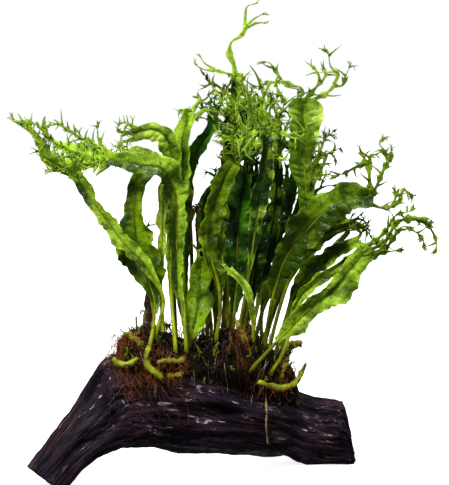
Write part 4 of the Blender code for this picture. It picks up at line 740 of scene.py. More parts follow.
def joined(name, *things):
    """Several objects as one piece."""
    only(*things)
    bpy.ops.object.join()
    thing = bpy.context.active_object
    thing.name = name
    return thing


def finished(thing, slot, *materials):
    """Shades a piece smooth, gives it its materials, and lets it ride with the plant."""
    only(thing)
    bpy.ops.object.shade_smooth()
    if not thing.data.materials:
        for look in materials:
            thing.data.materials.append(look)
    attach(thing, "root")


# Fronds.

@dataclass
class Lace:
    """How finely a crest is cut: its arms' width as a share of the solid's, the gap between its
    fine twigs, their reach, their foot's width, how far they turn from their arm and upwards, how
    far they bend, how many twigs of their own they may carry, and how far webs reach up between
    forks as a share of the arms' length."""

    arm: float = 0.72
    gap: float = 4.4
    reach: tuple = (3.0, 7.5)
    width: float = 1.1
    lean: float = 0.85
    rise: float = 0.0
    bend: float = 1.5
    forks: tuple = (0, 0, 1, 1, 2)
    web: float = 0.0


LACES = {
    "left_crested": Lace(1.5, 1.7, (2.5, 8.0), 1.5, 0.7, 1.1, 0.8, (0, 0, 1, 2), 0.85),
    "left_curl": Lace(0.8, 2.0, (2.0, 5.5), 0.9, 1.0, 0.0, 1.2, (0, 0, 1)),
    "left_upright": Lace(0.9, 3.6, (2.5, 6.0), 1.2, 0.8, 0.0, 1.0, (0, 0, 1)),
    "tall_tendril": Lace(0.62, 99.0, (2.0, 3.6), 0.9),
    "mid_arched": Lace(0.4, 99.0, (1.0, 2.0), 0.6),
    "right_quilted": Lace(0.5, 8.0, (1.2, 3.6), 1.4, 0.9, 0.0, 0.8, (0, 0, 0, 1), 0.12),
    "right_big": Lace(0.52, 6.0, (1.2, 3.8), 1.3, 0.9, 0.0, 0.8, (0, 0, 0, 1), 0.42),
    "right_low": Lace(0.7, 6.0, (1.2, 4.0), 1.3, 0.9, 0.0, 0.8, (0, 0, 0, 1), 0.5),
    "crown_left": Lace(1.15, 3.0, (3.5, 8.0), 1.5, 0.9, 0.0, 1.3, (0, 0, 1, 2), 0.4),
    "crown_mid": Lace(0.9, 3.5, (6.0, 17.0), 1.6, 0.6, 0.0, 1.1, (0, 0, 1, 2), 0.3),
    "crown_lace": Lace(0.8, 3.0, (6.0, 17.0), 1.4, 0.6, 0.0, 1.1, (0, 0, 1, 2), 0.25),
    "crown_dark": Lace(1.1, 2.2, (3.0, 8.0), 1.6, 0.9, 0.0, 1.3, (0, 0, 1, 2), 0.4),
    "crown_rear": Lace(0.8, 2.8, (4.0, 12.0), 1.2, 0.8, 0.0, 1.2, (0, 0, 1)),
    "dark_right": Lace(0.8, 2.4, (3.0, 7.0), 1.4, 0.9),
}

# How young the leaf looks at a blade's foot, at its end and in its crest: 0 is old and dark, 1 is fresh
# growth. The values also paint light and shade: a foot in shadow, such as right_quilted's, is set darker,
# and blades that catch the lamps are set darker while shaded ones are set lighter.
AGES_AND_PAINTED_SHADE = {
    "left_long": (0.7, 0.75, 0.5), "left_bright": (0.95, 1.25, 0.9), "left_crested": (0.25, 0.15, 0.95),
    "left_upright": (0.0, 1.05, 0.6), "left_curl": (0.1, 0.25, 0.6), "left_broad": (0.05, 0.25, 0.5),
    "right_quilted": (-0.65, 0.15, 0.15), "right_low": (0.5, 0.6, 0.55), "right_big": (-0.4, 0.08, 0.35),
    "mid_olive": (0.05, 0.35, 0.4), "olive_young": (0.6, 0.35, 0.4), "mid_arched": (0.1, 0.3, 0.3),
    "crown_mid": (0.0, -0.15, 0.7), "crown_lace": (0.0, -0.15, 0.8), "crown_left": (0.1, 0.1, 0.15),
    "tall_tendril": (-0.1, 0.4, 0.6), "crown_rear": (0.05, 0.0, 0.25), "pale_left": (0.6, 0.8, 0.8),
    "pale_right": (0.6, 0.8, 0.8), "right_lower_mid": (0.25, 0.5, 0.4), "right_low_thin": (0.5, 0.45, 0.5),
    "right_upper_mid": (0.2, 0.4, 0.4), "right_behind": (0.1, 0.3, 0.4), "dark_right": (0.05, 0.1, 0.4),
    "crown_dark": (0.0, 0.0, 0.12), "dark_wing": (0.2, 0.6, 0.9), "mid_toothed": (0.2, 0.5, 0.8),
}

# Fronds whose dark blades end in bright lace.
CROWNS = ("crown_mid", "crown_lace", "crown_left", "crown_rear", "crown_dark", "tall_tendril", "dark_right")

# Fronds whose blade runs on down the stalk as a narrow wing, and the share of the route it takes.
WINGS = {"left_crested": 0.1, "left_curl": 0.1, "left_upright": 0.08, "left_bright": 0.06, "left_long": 0.0,
         "left_broad": 0.03, "mid_dark": 0.1, "mid_ridged": 0.12, "mid_low": 0.08, "dark_lean": 0.1,
         "dark_right": 0.1, "mid_olive": 0.12, "right_quilted": 0.0, "crown_mid": 0.06, "crown_lace": 0.06}

# Fronds that are broader than their solid where they lie over one another.
BROADER = {"mid_dark": 1.3, "mid_ridged": 1.4, "mid_low": 1.25, "dark_lean": 1.2, "dark_right": 1.35,
           "mid_toothed": 1.15, "tall_tendril": 1.4, "left_broad": 1.4, "crown_mid": 1.25,
           "crown_lace": 1.25, "crown_dark": 1.2}

# Blades whose halves are painted lighter and darker, as light and shade fall on the two sides of a folded
# blade: what is added to the left and to the right half's youth.
PAINTED_HALF_SHADING = {
    "right_quilted": (-0.25, 0.2), "left_long": (-0.3, 0.45), "left_curl": (0.3, -0.15),
    "left_broad": (0.0, 0.15), "left_upright": (0.4, -0.2), "left_crested": (-0.3, 0.3),
    "right_big": (0.1, -0.15), "right_low": (0.1, 0.0),
}

# How strongly a blade is quilted between its side veins.
QUILTS = {
    "right_quilted": 2.3, "right_big": 0.8, "left_upright": 0.35, "mid_ridged": 1.8, "mid_dark": 0.7,
    "left_crested": 1.1, "left_long": 0.45, "left_bright": 0.5, "left_curl": 0.9, "left_broad": 0.5,
}


class Blade:
    """The flat part of a frond: its rows from the stalk to the palm of the crest."""

    def __init__(self, frond, route, blade_from, palm_half):
        self.frond, self.route, self.start, self.palm_half = frond, route, blade_from, palm_half
        self.width = frond.width * BROADER.get(frond.name, 1.0)
        self.length = route.length * (1 - blade_from) + PALM_RUN * MM
        self.rows = max(30, int(self.length / (ROW_STEP * MM)))
        self.turns = [math.radians(angle) for angle in frond.facing]
        self.edges = EDGES.get(frond.name, ((0, 1, 1), (1, 1, 1)))
        self.ages = AGES_AND_PAINTED_SHADE.get(frond.name, (0.1, 0.35, 0.3))
        self.quilt = QUILTS.get(frond.name, 0.35)
        chance = random.Random(frond.seed + 500)
        self.wave = chance.uniform(10.0, 16.0)
        self.phases = (chance.uniform(0, math.tau), chance.uniform(0, math.tau))
        self.fold = chance.uniform(0.3, 0.5)
        self.stalk_age = chance.uniform(0.7, 1.05) + 0.9 * min(self.ages[0], 0.0)
        # Each half's youth is shifted. For most blades the shift is random; for the listed blades it is
        # painted light and shade on one half against the other.
        self.half_tone_and_shading = [chance.uniform(-0.22, 0.22), chance.uniform(-0.22, 0.22)]
        self.half_tone_and_shading = PAINTED_HALF_SHADING.get(frond.name, self.half_tone_and_shading)
        self.stations = [self.station(row / self.rows) for row in range(self.rows + 1)]

    def station(self, along):
        """The middle, side, face and left and right half widths at a share of the blade's length."""
        reach = along * self.length
        blade_length = self.length - PALM_RUN * MM
        part = min(reach / blade_length, 1.0)
        share = self.start + (1 - self.start) * part
        direction = self.route.direction(share)
        middle = self.route.at(share) + direction * max(reach - blade_length, 0.0)
        side, face = side_and_face(direction, self.turns[0] + (self.turns[1] - self.turns[0]) * part)
        half = self.width / 2 * MM * rounded(BLADE_SHAPES[self.frond.shape], part)
        left = rounded([(row[0], row[1]) for row in self.edges], part)
        right = rounded([(row[0], row[2]) for row in self.edges], part)
        open_share = min(max((reach - blade_length + 4 * MM) / (5.6 * MM), 0.0), 1.0) ** 2
        halves = [half * edge + (self.palm_half - half * edge) * open_share for edge in (left, right)]
        return middle, side, face, halves

    def reach_out(self, hand, size, reach, calm):
        """How much wider the blade is here than its plain shape: its waves, lobes and nicks."""
        seed = self.frond.seed
        wave = math.sin(math.tau * reach / self.wave + self.phases[hand])
        lobes = waver(reach * 0.13, seed * 3.7 + hand * 9)
        ripple = waver(reach * 0.42, seed * 5.1 + hand * 7, 3)
        nick = max(waver(reach * 0.22, seed * 7.7 + hand * 5, 9) - 0.2, 0.0)
        return 1 + (0.05 * wave + 0.4 * lobes + 0.2 * ripple - 0.9 * nick * size) * size * calm

    def rise(self, hand, size, across, reach, out, half, vein, calm):
        """How far the blade stands out of its plane: its fold, curled margins, pleats and pillows."""
        seed = self.frond.seed
        opening = self.fold + 0.55 * waver(reach * 0.045, seed * 1.3 + hand * 6, 1)
        fold = half * opening * (size - 0.5)
        curl = half * 0.7 * size**3 * waver(reach * 0.17, seed * 2.9 + hand * 8, 6) * calm
        pleat = 0.9 * MM * waver(out / MM * 0.42, reach * 0.05, seed * 3.3) * calm
        bow = 0.6 * MM * waver(reach * 0.09, seed, 8) * calm
        crease = waver(out / MM * 0.3, reach * 0.22, seed * 1.7)
        crease += 0.5 * waver(out / MM * 0.7, reach * 0.6, seed * 0.7)
        pillow = abs(math.sin(math.pi * vein)) ** 0.7 * math.sin(math.pi * min(size, 0.93)) ** 0.6
        fullness = 0.65 + 0.7 * waver(reach * 0.07, across, seed * 4.1)
        puff = min(half * 0.2, 0.9 * MM) * pillow * self.quilt * fullness
        return fold + curl + puff + bow + pleat + 0.7 * MM * crease * calm

    def spot(self, u, v):
        """A point of the blade: u from the left edge to the right one, v from stalk to crest."""
        middle, side, face, halves = self.stations[round(v * self.rows)]
        across = 2 * u - 1
        size = abs(across)
        hand = 0 if across < 0 else 1
        half = halves[hand]
        seed, gap = self.frond.seed, VEIN_GAPS[self.frond.tone]
        reach = v * self.length / MM
        calm = math.sin(math.pi * min(max(v, 0.02), 0.98)) ** 0.5
        out = half * across * self.reach_out(hand, size, reach, calm)
        slip = 0.8 * waver(reach * 0.14, seed * 2.3 + hand * 4, 5)
        vein = (reach - VEIN_SLANT * size * half / MM) / gap + 0.5 * (1 - hand) + slip
        point = middle + side * out + face * self.rise(hand, size, across, reach, out, half, vein, calm)
        young = self.ages[0] + (self.ages[1] - self.ages[0]) * v + self.half_tone_and_shading[hand] * min(size * 9, 1.0)
        young += 0.45 * waver(reach * 0.06, seed + hand, 2) + 0.3 * max(size - 0.8, 0.0) / 0.2
        return point, (across * half / MM, reach + slip * gap, young)


class Crest:
    """The lacy end of a frond: arms that fork and carry twigs, all in one set of strips."""

    def __init__(self, frond, chance):
        self.strips = Strips()
        self.chance = chance
        self.detail = random.Random(frond.seed + 900)
        self.turn = math.radians(frond.facing[1])
        self.lace = LACES.get(frond.name, Lace())
        self.bare = frond.bare

    def sides(self, route, share):
        """Which way an arm runs here, its sideways vector and its facing one."""
        direction = route.direction(share)
        return direction, *side_and_face(direction, self.turn)

    def grow_twig(self, start, way, face, length, width, forks, young, most=1.5):
        """A twig that curls, narrows to a hair and carries smaller twigs."""
        chance = self.detail
        steps = 6 if length > 3.2 * MM else 4
        side = way.cross(face).normalized()
        face = (face + side * chance.uniform(-0.6, 0.6)).normalized()
        bend, lift = chance.uniform(-most, most), chance.uniform(-0.6, 0.6) * most
        points = [start]
        direction = way.copy()
        for _ in range(steps):
            direction = (direction + (side * bend + face * lift) / steps).normalized()
            points.append(points[-1] + direction * length / steps)
        halves = [max(width / 2 * (1 - 0.95 * (k / steps) ** 0.8), 0.09) * MM for k in range(steps + 1)]
        halves[0] *= 1.35
        self.strips.ribbon(points, halves, face, (young, min(young + 0.2, 1.1)), 0.35)
        leftward = chance.random() < 0.5
        for fork in range(forks):
            place = min(max(0.25 + 0.55 * (fork + chance.uniform(0.0, 0.6)) / forks, 0.2), 0.8) * steps
            index = int(place)
            base = points[index].lerp(points[min(index + 1, steps)], place - index)
            turn = side if leftward else -side
            out = direction + turn * chance.uniform(0.4, 0.9) + face * chance.uniform(-0.4, 0.4)
            self.grow_twig(base, out.normalized(), face, length * chance.uniform(0.35, 0.65), width * 0.75,
                           1 if forks > 2 and chance.random() < 0.4 else 0, min(young + 0.1, 1.0))
            leftward = not leftward

    def arm_halves(self, route, width, end_width, forks, knots, swell):
        """Half of an arm's width, in metres, in each of its rows."""
        steps = max(6, int(route.length / (ROW_STEP * MM)))
        halves = []
        for step in range(steps + 1):
            share = step / steps
            half = (width + (end_width - width) * share) / 2 * min(self.lace.arm, width * 0.8)
            bulge = waver(share * route.length / MM * 0.35, swell, 2)
            half *= 1 + 0.6 * bulge + 0.9 * (1 - share) ** 5
            if self.bare and forks and route.length > 20 * MM:
                half *= 1 + 1.7 * math.exp(-(((share * route.length / MM) - 10) / 3.2) ** 2)
            if forks:
                half *= 1 + 1.1 * share**5
            else:
                half *= 1 - 0.85 * max(share - 0.35, 0) / 0.65
            for knot in knots:
                half += width * 0.4 * math.exp(-(((share - knot) * route.length / MM / 1.4) ** 2))
            halves.append(max(half, 0.12) * MM)
        return halves

    def grow_main_twigs(self, route, plan, width, young):
        """The longer twigs, where the solid has them too."""
        for share, leftward, length, lift in plan:
            direction, side, face = self.sides(route, share)
            way = (direction * 0.65 + (-side if leftward else side) + face * lift).normalized()
            forks = self.detail.choice((1, 2, 3)) if self.lace.bend > 1 else 0
            self.grow_twig(route.at(share), way, face, length + width * 0.4 * MM,
                           max(1.5, self.lace.width), forks, young + 0.1, self.lace.bend)

    def grow_fine_twigs(self, route, halves, knots, spare, young):
        """Fine twigs all along an arm, or one or two at each of its knots."""
        detail, lace = self.detail, self.lace
        long = lace.reach[1] > LONG_REACH
        leftward = detail.random() < 0.5
        spots = [knot + detail.uniform(-0.03, 0.03)
                 for knot in knots for _ in range(detail.choice((1, 1, 2)))]
        if lace.gap <= FINE_GAP:
            count = int(route.length / (lace.gap * MM))
            spots = [min((index + detail.uniform(0.1, 0.9)) / count, 0.98) for index in range(count)]
        for share in spots[::4] if spare else spots:
            share = min(max(share, 0.02), 0.98)
            direction, side, face = self.sides(route, share)
            outward = -side if leftward else side
            way = direction * detail.uniform(0.5, 1.3) + outward * lace.lean
            way = way + face * detail.uniform(-0.5, 0.5)
            way = (way + Vector((0, 0, lace.rise * detail.uniform(0.4, 1.3)))).normalized()
            start = route.at(share) + outward * halves[int(share * (len(halves) - 1))] * 0.5
            reach = detail.uniform(*lace.reach) * (1.15 - 0.5 * share)
            broad = 1.6 if long and detail.random() < 0.2 else 1.0
            forks = detail.choice(lace.forks)
            self.grow_twig(start, way, face, reach * MM * (broad + 1) / 2, lace.width * broad, forks,
                           young + detail.uniform(-0.35, 0.3) * (1.6 if long else 1), lace.bend)
            leftward = not leftward if detail.random() < 0.75 else leftward

    def grow_tip(self, route, young):
        """The thin fork that an arm ends in, or the single hair of a bare one."""
        direction, side, face = self.sides(route, 0.97)
        for turned in (-0.55, 0.5) if self.lace.gap < BARE_GAP else (0.1,):
            self.grow_twig(route.at(0.82), (direction + side * turned).normalized(), face,
                           self.detail.uniform(2.6, 4.6) * MM, 0.9, self.detail.choice((0, 1)), young + 0.2)

    def grow_forks(self, route, forks, end_width, young):
        """More arms from an arm's end, with webs between them."""
        end = route.at(1.0)
        _, side, _ = self.sides(route, 1.0)
        half = len(forks) * end_width * 0.4 * MM
        paths = [Route([end] + [place for place in fork if isinstance(place, Vector)]) for fork in forks]
        for first, second in zip(paths, paths[1:]):
            if self.lace.web:
                self.strips.web(first, second, self.lace.web * self.detail.uniform(0.7, 1.2), young)
        for index, fork in enumerate(forks):
            across = (2 * index + 1) / len(forks) - 1
            self.grow_arm(end + side * half * across * 0.6, fork, end_width, young + 0.08)

    def grow_arm(self, base, points, width, young):
        """One arm with its twigs. Its last entry may hold the arms that it forks into."""
        forks = ()
        if not isinstance(points[-1], Vector):
            *points, forks = points
        route = Route([base] + points)
        end_width = max(TIP_WIDTH, width * 0.75) if forks else TIP_WIDTH
        plan = [] if self.bare else twig_plan(route.length, self.chance)
        swell = self.detail.uniform(0, math.tau)
        knots = []
        if FINE_GAP < self.lace.gap < BARE_GAP:
            count = int(route.length / (self.lace.gap * MM))
            knots = [(index + self.detail.uniform(0.35, 0.75)) / count for index in range(count)]
        halves = self.arm_halves(route, width, end_width, forks, knots, swell)
        middles = [route.at(row / (len(halves) - 1)) for row in range(len(halves))]
        self.strips.ribbon(middles, halves, self.sides(route, 0.5)[2], (young, young + 0.2), 0.4)
        self.grow_main_twigs(route, plan, width, young)
        self.grow_fine_twigs(route, halves, knots, width < 1.5 and not forks, young)
        if forks:
            self.grow_forks(route, forks, end_width, young)
        else:
            self.grow_tip(route, young)


def grow_stem(route, blade, blade_from):
    """The stalk, round and thick at its foot, which runs on as the blade's midrib."""
    stem = Strips()
    middles, radii, ages = [], [], []
    steps = 70
    for step in range(steps + 1):
        share = step / steps * 0.985
        middle = route.at(share)
        part = max(share - blade_from, 0.0) / (1 - blade_from)
        if part > 0:
            middle, _ = blade.spot(0.5, part * (1 - PALM_RUN * MM / blade.length))
        middles.append(middle)
        flare = 0.45 * math.exp(-share * route.length / (6 * MM))
        thick = STALK_WIDTH / 2 * (1.0 - 0.1 * min(share / blade_from, 1.0)) + flare
        radii.append((thick * (1 - part) ** 1.5 + 0.3 * part) * MM)
        ages.append(0.5 * (1 - part) ** 2 if part > 0 else blade.stalk_age - 0.45 * share / blade_from)
    stem.round_stem(middles, radii, 0.0, ages, 8)
    return stem.piece("stem")


def dress_frond(frond, carriers, leaf, rib):
    """One frond in full: a round stalk that runs on as the midrib, a quilted blade and a crest."""
    chance = random.Random(frond.seed)
    route = Route(rooted([seen(*place) for place in frond.route], carriers))
    start = rooted_share(route, carriers)
    blade_from = max(frond.blade_from - WINGS.get(frond.name, 0.0), start + 0.08)
    crest = Crest(frond, chance)
    tip = route.at(1.0)
    direction, side, face = crest.sides(route, 1.0)
    if isinstance(frond.crest, Fan):
        arms = fan_arms(frond.crest, tip, direction, side, face, chance)
    else:
        arms = [seen_arm(arm) for arm in frond.crest]
    widths = frond.arm_widths or [ARM_WIDTH] * len(arms)
    palm_half = max(frond.width * 0.3, sum(widths) * 0.5) * MM
    blade = Blade(frond, route, blade_from, palm_half)
    lamina = add_grid("blade", 18 if frond.width > 9 else 12, blade.rows, blade.spot)
    palm = tip + direction * PALM_RUN * MM
    for index, (arm, width) in enumerate(zip(arms, widths)):
        across = (2 * index + 1) / len(arms) - 1
        base = palm + side * palm_half * across * 0.9 - direction * 1.8 * MM
        crest.grow_arm(base, arm, width, blade.ages[2])
    lace = crest.strips.piece("crest")
    thicken(lace, CREST_THICKNESS)
    thicken(lamina, BLADE_THICKNESS)
    soften(lamina)
    stem = grow_stem(route, blade, blade_from)
    for sheet in (lamina, lace):
        sheet.data.materials.append(leaf)
    stem.data.materials.append(rib)
    thing = joined("fern_frond_" + frond.name, lamina, lace, stem)
    finished(thing, "frond_" + frond.tone)
    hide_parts("frond_" + frond.name)


# Driftwood.

def limb_station(share):
    """Upper outline, lower outline, depth and half thickness of the limb at a share of its length."""
    rows = [Vector((*top, *bottom)) for top, bottom, _, _ in LIMB]
    depths = [Vector((back, half, 0)) for _, _, back, half in LIMB]
    outline, depth = spline(rows, share), spline(depths, share)
    return outline.xy, outline.zw, depth.x, depth.y


def squareness(cos, sin):
    """How much further than a circle the limb's squarish section reaches at this angle."""
    power = 2.6
    return (abs(cos) ** power + abs(sin) ** power) ** (-1 / power)


def limb_point(share, angle, lift=0.0):
    """A point of the bark. Angle 0 is the top, a quarter turn is the front; lift is in millimetres."""
    top, bottom, back, half = limb_station(share)
    middle, reach = (top + bottom) / 2, (top - bottom) / 2
    cos, sin = math.cos(angle), math.sin(angle)
    square = squareness(cos, sin)
    ridges = 1 + 0.035 * sin * math.sin(3 * angle + 5 * share)
    ridges += 0.03 * sin * math.cos(5 * angle - 9 * share)
    place = middle + reach * cos * square
    lift_up = reach.normalized() * lift * cos
    depth = back - (half * ridges * square + lift) * sin
    (slot_across, slot_up), slot_half, slot_height, slot_depth = HOLLOW
    if sin > 0:
        off = ((place.x - slot_across) / slot_half) ** 2 + ((place.y - slot_up) / slot_height) ** 2
        depth += slot_depth * math.exp(-off)
    return seen(place.x + lift_up.x, place.y + lift_up.y, depth)


def limb_seen(share, angle):
    """Where a point of the bark is seen from the front: how far across and how far up."""
    top, bottom, _, _ = limb_station(share)
    cos, sin = math.cos(angle), math.sin(angle)
    return (top + bottom) / 2 + (top - bottom) / 2 * cos * squareness(cos, sin)


def near_line(point, line):
    """The distance from a point to a line of points, all in millimetres."""
    best = 1e9
    for a, b in zip(line, line[1:]):
        a, b = Vector(a), Vector(b)
        share = min(max((point - a).dot(b - a) / (b - a).length_squared, 0.0), 1.0)
        best = min(best, (point - a.lerp(b, share)).length)
    return best


def bark_lift(share, angle):
    """How far the wood's grain, cracks and grooves stand out or sink in, in millimetres."""
    along = share * LIMB_LENGTH
    y, z = BARK_RADIUS * math.cos(angle), BARK_RADIUS * math.sin(angle)
    lumps = noise.fractal(Vector((along * 0.045, y * 0.12, z * 0.12)), 1.0, 2.0, 3)
    drift = 1.3 * waver(along * 0.03, y * 0.08, z * 0.08)
    grain = 1 - 2.2 * abs(waver(along * 0.032 + 11, y * 0.42 + drift, z * 0.42 + drift))
    fine = 1 - 2.2 * abs(waver(along * 0.09 + 5, y * 1.25 + drift, z * 1.25 + drift))
    crack = waver(along * 0.018 + 3, y * 0.3 + drift * 0.5, z * 0.3 + drift * 0.5)
    gate = waver(along * 0.05 + 31, y * 0.1, z * 0.1)
    lift = 1.4 * lumps + 0.6 * grain + 0.16 * fine
    lift -= 1.1 * max(0.0, 1 - abs(crack) / 0.045) * min(max(gate * 4 + 0.6, 0.0), 1.0)
    if math.sin(angle) > 0:
        spot = limb_seen(share, angle)
        lift -= 2.0 * math.exp(-(near_line(spot, GROOVE) / 1.1) ** 2)
        lift -= 3.0 * math.exp(-(near_line(spot, SLOT) / 1.4) ** 2)
    return lift


def limb_end(share, inside):
    """The middle of the limb's cut or broken end and the way that it faces."""
    middle = sum((limb_point(share, math.tau * k / 12) for k in range(12)), Vector()) / 12
    return middle, (limb_point(share, 0.0) - limb_point(inside, 0.0)).normalized()


def dress_limb(look):
    """The limb with its grain, a cut left end, a broken right end and a flat underside."""
    columns, sides, rings = 290, 150, 9
    left_end, right_end = limb_end(0.0, 0.04), limb_end(1.0, 0.94)

    def spot(u, v):
        step = round(u * columns)
        angle = -math.tau * v
        share = min(max((step - rings) / (columns - 2 * rings), 0.0), 1.0)
        y, z = BARK_RADIUS * math.cos(angle), BARK_RADIUS * math.sin(angle)
        jag = 0.0
        if share > JAGGED_FROM:
            steps = waver(y * 0.35, z * 0.35, 4) + 0.7 * waver(y * 1.4, z * 1.4, 7)
            drop = 0.03 * max(math.cos(angle), 0.0) ** 0.6 + 0.045 * max(steps, 0.0)
            jag = -drop * (share - JAGGED_FROM) / (1 - JAGGED_FROM)
        rim = limb_point(min(share + jag, 1.0), angle, bark_lift(share, angle))
        along = share * LIMB_LENGTH
        if rings <= step <= columns - rings:
            return rim, (along, y, z)
        left = step < rings
        inward = (rings - step) / rings if left else (step - columns + rings) / rings
        centre, way = left_end if left else right_end
        point = rim.lerp(centre, inward**1.2)
        rough = noise.fractal(Vector((y * (1 - inward) * 0.22, z * (1 - inward) * 0.22, 9)), 1.0, 2.0, 4)
        relief = 0.35 * rough if left else 2.6 * rough + 0.7 * math.sin(math.pi * inward)
        return point + way * relief * min(inward * 4, 1.0) * MM, (along + 40 * inward, y, z)

    limb = add_grid("wet_driftwood", columns, sides, spot)
    close_seams(limb)
    bpy.ops.object.mode_set(mode="EDIT")
    bpy.ops.mesh.select_all(action="SELECT")
    bpy.ops.mesh.bisect(plane_co=(0, 0, 0), plane_no=(0, 0, 1), use_fill=True, clear_inner=True)
    bpy.ops.object.mode_set(mode="OBJECT")
    finished(limb, "driftwood", look)
    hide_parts("driftwood_limb")


# Root mat, roots and creeping stems.

def mat_lumps():
    """The lumps of the mat, as its solid has them: one number for each corner of a coarse grid."""
    chance = random.Random(5)
    return [[chance.uniform(0.85, 1.1) for _ in range(LUMPS_ROUND + 1)] for _ in range(LUMPS_ALONG + 1)]


LUMPS = mat_lumps()


def mat_lift(share, angle):
    """How high the mat stands above the bark here, in millimetres; nothing beyond its edges."""
    first, last = MAT_SPAN
    along = (share - first) / (last - first)
    round_share = (angle + MAT_BEHIND) / (MAT_BEHIND + MAT_FRONT)
    if not (0 < along < 1 and 0 < round_share < 1):
        return 0.0
    i = min(int(along * LUMPS_ALONG), LUMPS_ALONG - 1)
    j = min(int(round_share * LUMPS_ROUND), LUMPS_ROUND - 1)
    s, t = along * LUMPS_ALONG - i, round_share * LUMPS_ROUND - j
    near = LUMPS[i][j] * (1 - t) + LUMPS[i][j + 1] * t
    far = LUMPS[i + 1][j] * (1 - t) + LUMPS[i + 1][j + 1] * t
    crown = math.sin(math.pi * round_share) ** 0.5
    ends = min(along / 0.04, (1 - along) / 0.04, 1.0)
    edges = min(round_share / 0.05, (1 - round_share) / 0.05, 1.0)
    height = 1.2 + rounded(MAT_HEIGHTS, along) * crown * (near * (1 - s) + far * s)
    return height * ends * edges


def dress_mat(look):
    """The body of the mat: packed roots and debris, in lumps with pits between them."""
    first, last = MAT_SPAN
    outside, inside = 0.82, 0.18

    def spot(u, v):
        outer = min(v / outside, 1.0) if v <= outside else 1 - (v - outside) / inside
        share = first + (last - first) * u
        angle = -MAT_BEHIND + (MAT_BEHIND + MAT_FRONT) * outer
        place = (share * LIMB_LENGTH, MAT_RADIUS * math.cos(angle), MAT_RADIUS * math.sin(angle))
        if v > outside:
            return limb_point(share, angle, 0.1), place
        lift = mat_lift(share, angle)
        depth = min(lift / 4, 1.0)
        at = Vector(place)
        lumps = noise.fractal(at * 0.13, 1.0, 2.0, 3)
        tangle = noise.turbulence(at * 0.42, 3, False) + 0.6 * noise.turbulence(at * 1.1, 2, False)
        return limb_point(share, angle, 0.1 + lift + (2.6 * lumps + 2.2 * (tangle - 0.8)) * depth), place

    mat = add_grid("root_mat_body", 210, 150, spot)
    close_seams(mat, 0.05 * MM)
    finished(mat, "root_mat", look)
    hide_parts("root_mat")


def creeping_root(strips, chance, share, angle, heading, length, radius, wander, hover):
    """A thin root that creeps over the mat and the bark, rising off them here and there."""
    step = 1.6
    points, radii = [], []
    count = max(5, int(length / step))
    rise = chance.uniform(0, math.tau)
    for index in range(count + 1):
        lift = mat_lift(share, angle) + 0.25 + hover * (0.5 + 0.5 * math.sin(rise + index * 0.8))
        points.append(limb_point(share, angle, lift))
        radii.append(radius * (1 - 0.6 * index / count) * MM)
        heading += chance.uniform(-wander, wander)
        share += math.cos(heading) * step / LIMB_LENGTH
        angle += math.sin(heading) * step / CREEP_RADIUS
        share = min(max(share, 0.02), 0.97)
    first, last = chance.random(), chance.random()
    ages = [first + (last - first) * index / count for index in range(count + 1)]
    strips.round_stem(points, radii, chance.uniform(0, 50), ages, 4)


def free_root(strips, chance, start, end, sag, radius, wander):
    """A thin root that hangs freely from one point to another."""
    steps = 12
    points, radii = [], []
    shift = chance.uniform(0, 100)
    for index in range(steps + 1):
        share = index / steps
        point = start.lerp(end, share) + Vector((0, 0, -sag * 4 * share * (1 - share))) * MM
        drift = noise.noise_vector(Vector((share * 3.5, shift, 0))) * wander
        points.append(point + drift * math.sin(math.pi * min(share * 1.2, 1)) * MM)
        radii.append(radius * (1 - 0.55 * share) * MM)
    first, last = chance.random(), chance.random()
    ages = [first + (last - first) * k / steps for k in range(steps + 1)]
    strips.round_stem(points, radii, shift, ages, 4)


def sprout(strips, chance, start, way, lengths, radii, wander):
    """A free root or stub that runs this way, with its length and thickness drawn from a span."""
    length = chance.uniform(*lengths)
    end = start + way * length * MM
    free_root(strips, chance, start, end, 0.0, chance.uniform(*radii), length * wander)


def creep(strips, chance, *measures):
    """A creeping root. Each of its measures is a value or the span that it is drawn from."""
    drawn = [chance.uniform(*measure) if isinstance(measure, tuple) else measure for measure in measures]
    creeping_root(strips, chance, *drawn)


def root_piece(name, slot, look, strips, *nodes):
    """Hands these strips over as a piece that stands for these nodes."""
    thing = strips.piece(name)
    finished(thing, slot, look)
    if nodes:
        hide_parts(*nodes)


def mat_point(share, angle, lift):
    """A point at this height over the mat, in millimetres."""
    return limb_point(share, angle, mat_lift(share, angle) + lift)


def dark_tangle(chance):
    """The dark roots of the mat: creeping ones, short ends all over it and some upright strands."""
    first, last = MAT_SPAN
    strips = Strips()
    for _ in range(560):
        creep(strips, chance, (first + 0.01, last - 0.01), (-MAT_BEHIND * 0.95, MAT_FRONT * 0.97),
              (0, math.tau), (7, 22), (0.14, 0.36), 0.65, (0.2, 2.0))
    for _ in range(120):
        share = chance.uniform(first + 0.02, last - 0.02)
        angle = MAT_FRONT * chance.uniform(0.7, 0.98)
        creep(strips, chance, share, angle, DOWN, (5, 14), (0.12, 0.26), 0.3, 0.5)
    for _ in range(260):
        share = chance.uniform(first + 0.02, last - 0.02)
        angle = chance.uniform(-MAT_BEHIND * 0.8, MAT_FRONT * 0.9)
        start = mat_point(share, angle, -1.0)
        out = (mat_point(share, angle, 4.0) - start).normalized()
        side = Vector((chance.uniform(-1, 1), chance.uniform(-1, 1), chance.uniform(-0.2, 1)))
        sprout(strips, chance, start, (out + side * 0.8).normalized(), (2.0, 7.0), (0.16, 0.6), 0.25)
    for _ in range(150):
        share = chance.uniform(first + 0.1, last - 0.05)
        start = mat_point(share, chance.uniform(-0.6, 0.45), -1.0)
        lean = Vector((chance.uniform(-0.5, 0.5), chance.uniform(-0.3, 0.3), 1)).normalized()
        sprout(strips, chance, start, lean, (4, 15), (0.12, 0.3), 0.3)
    return strips


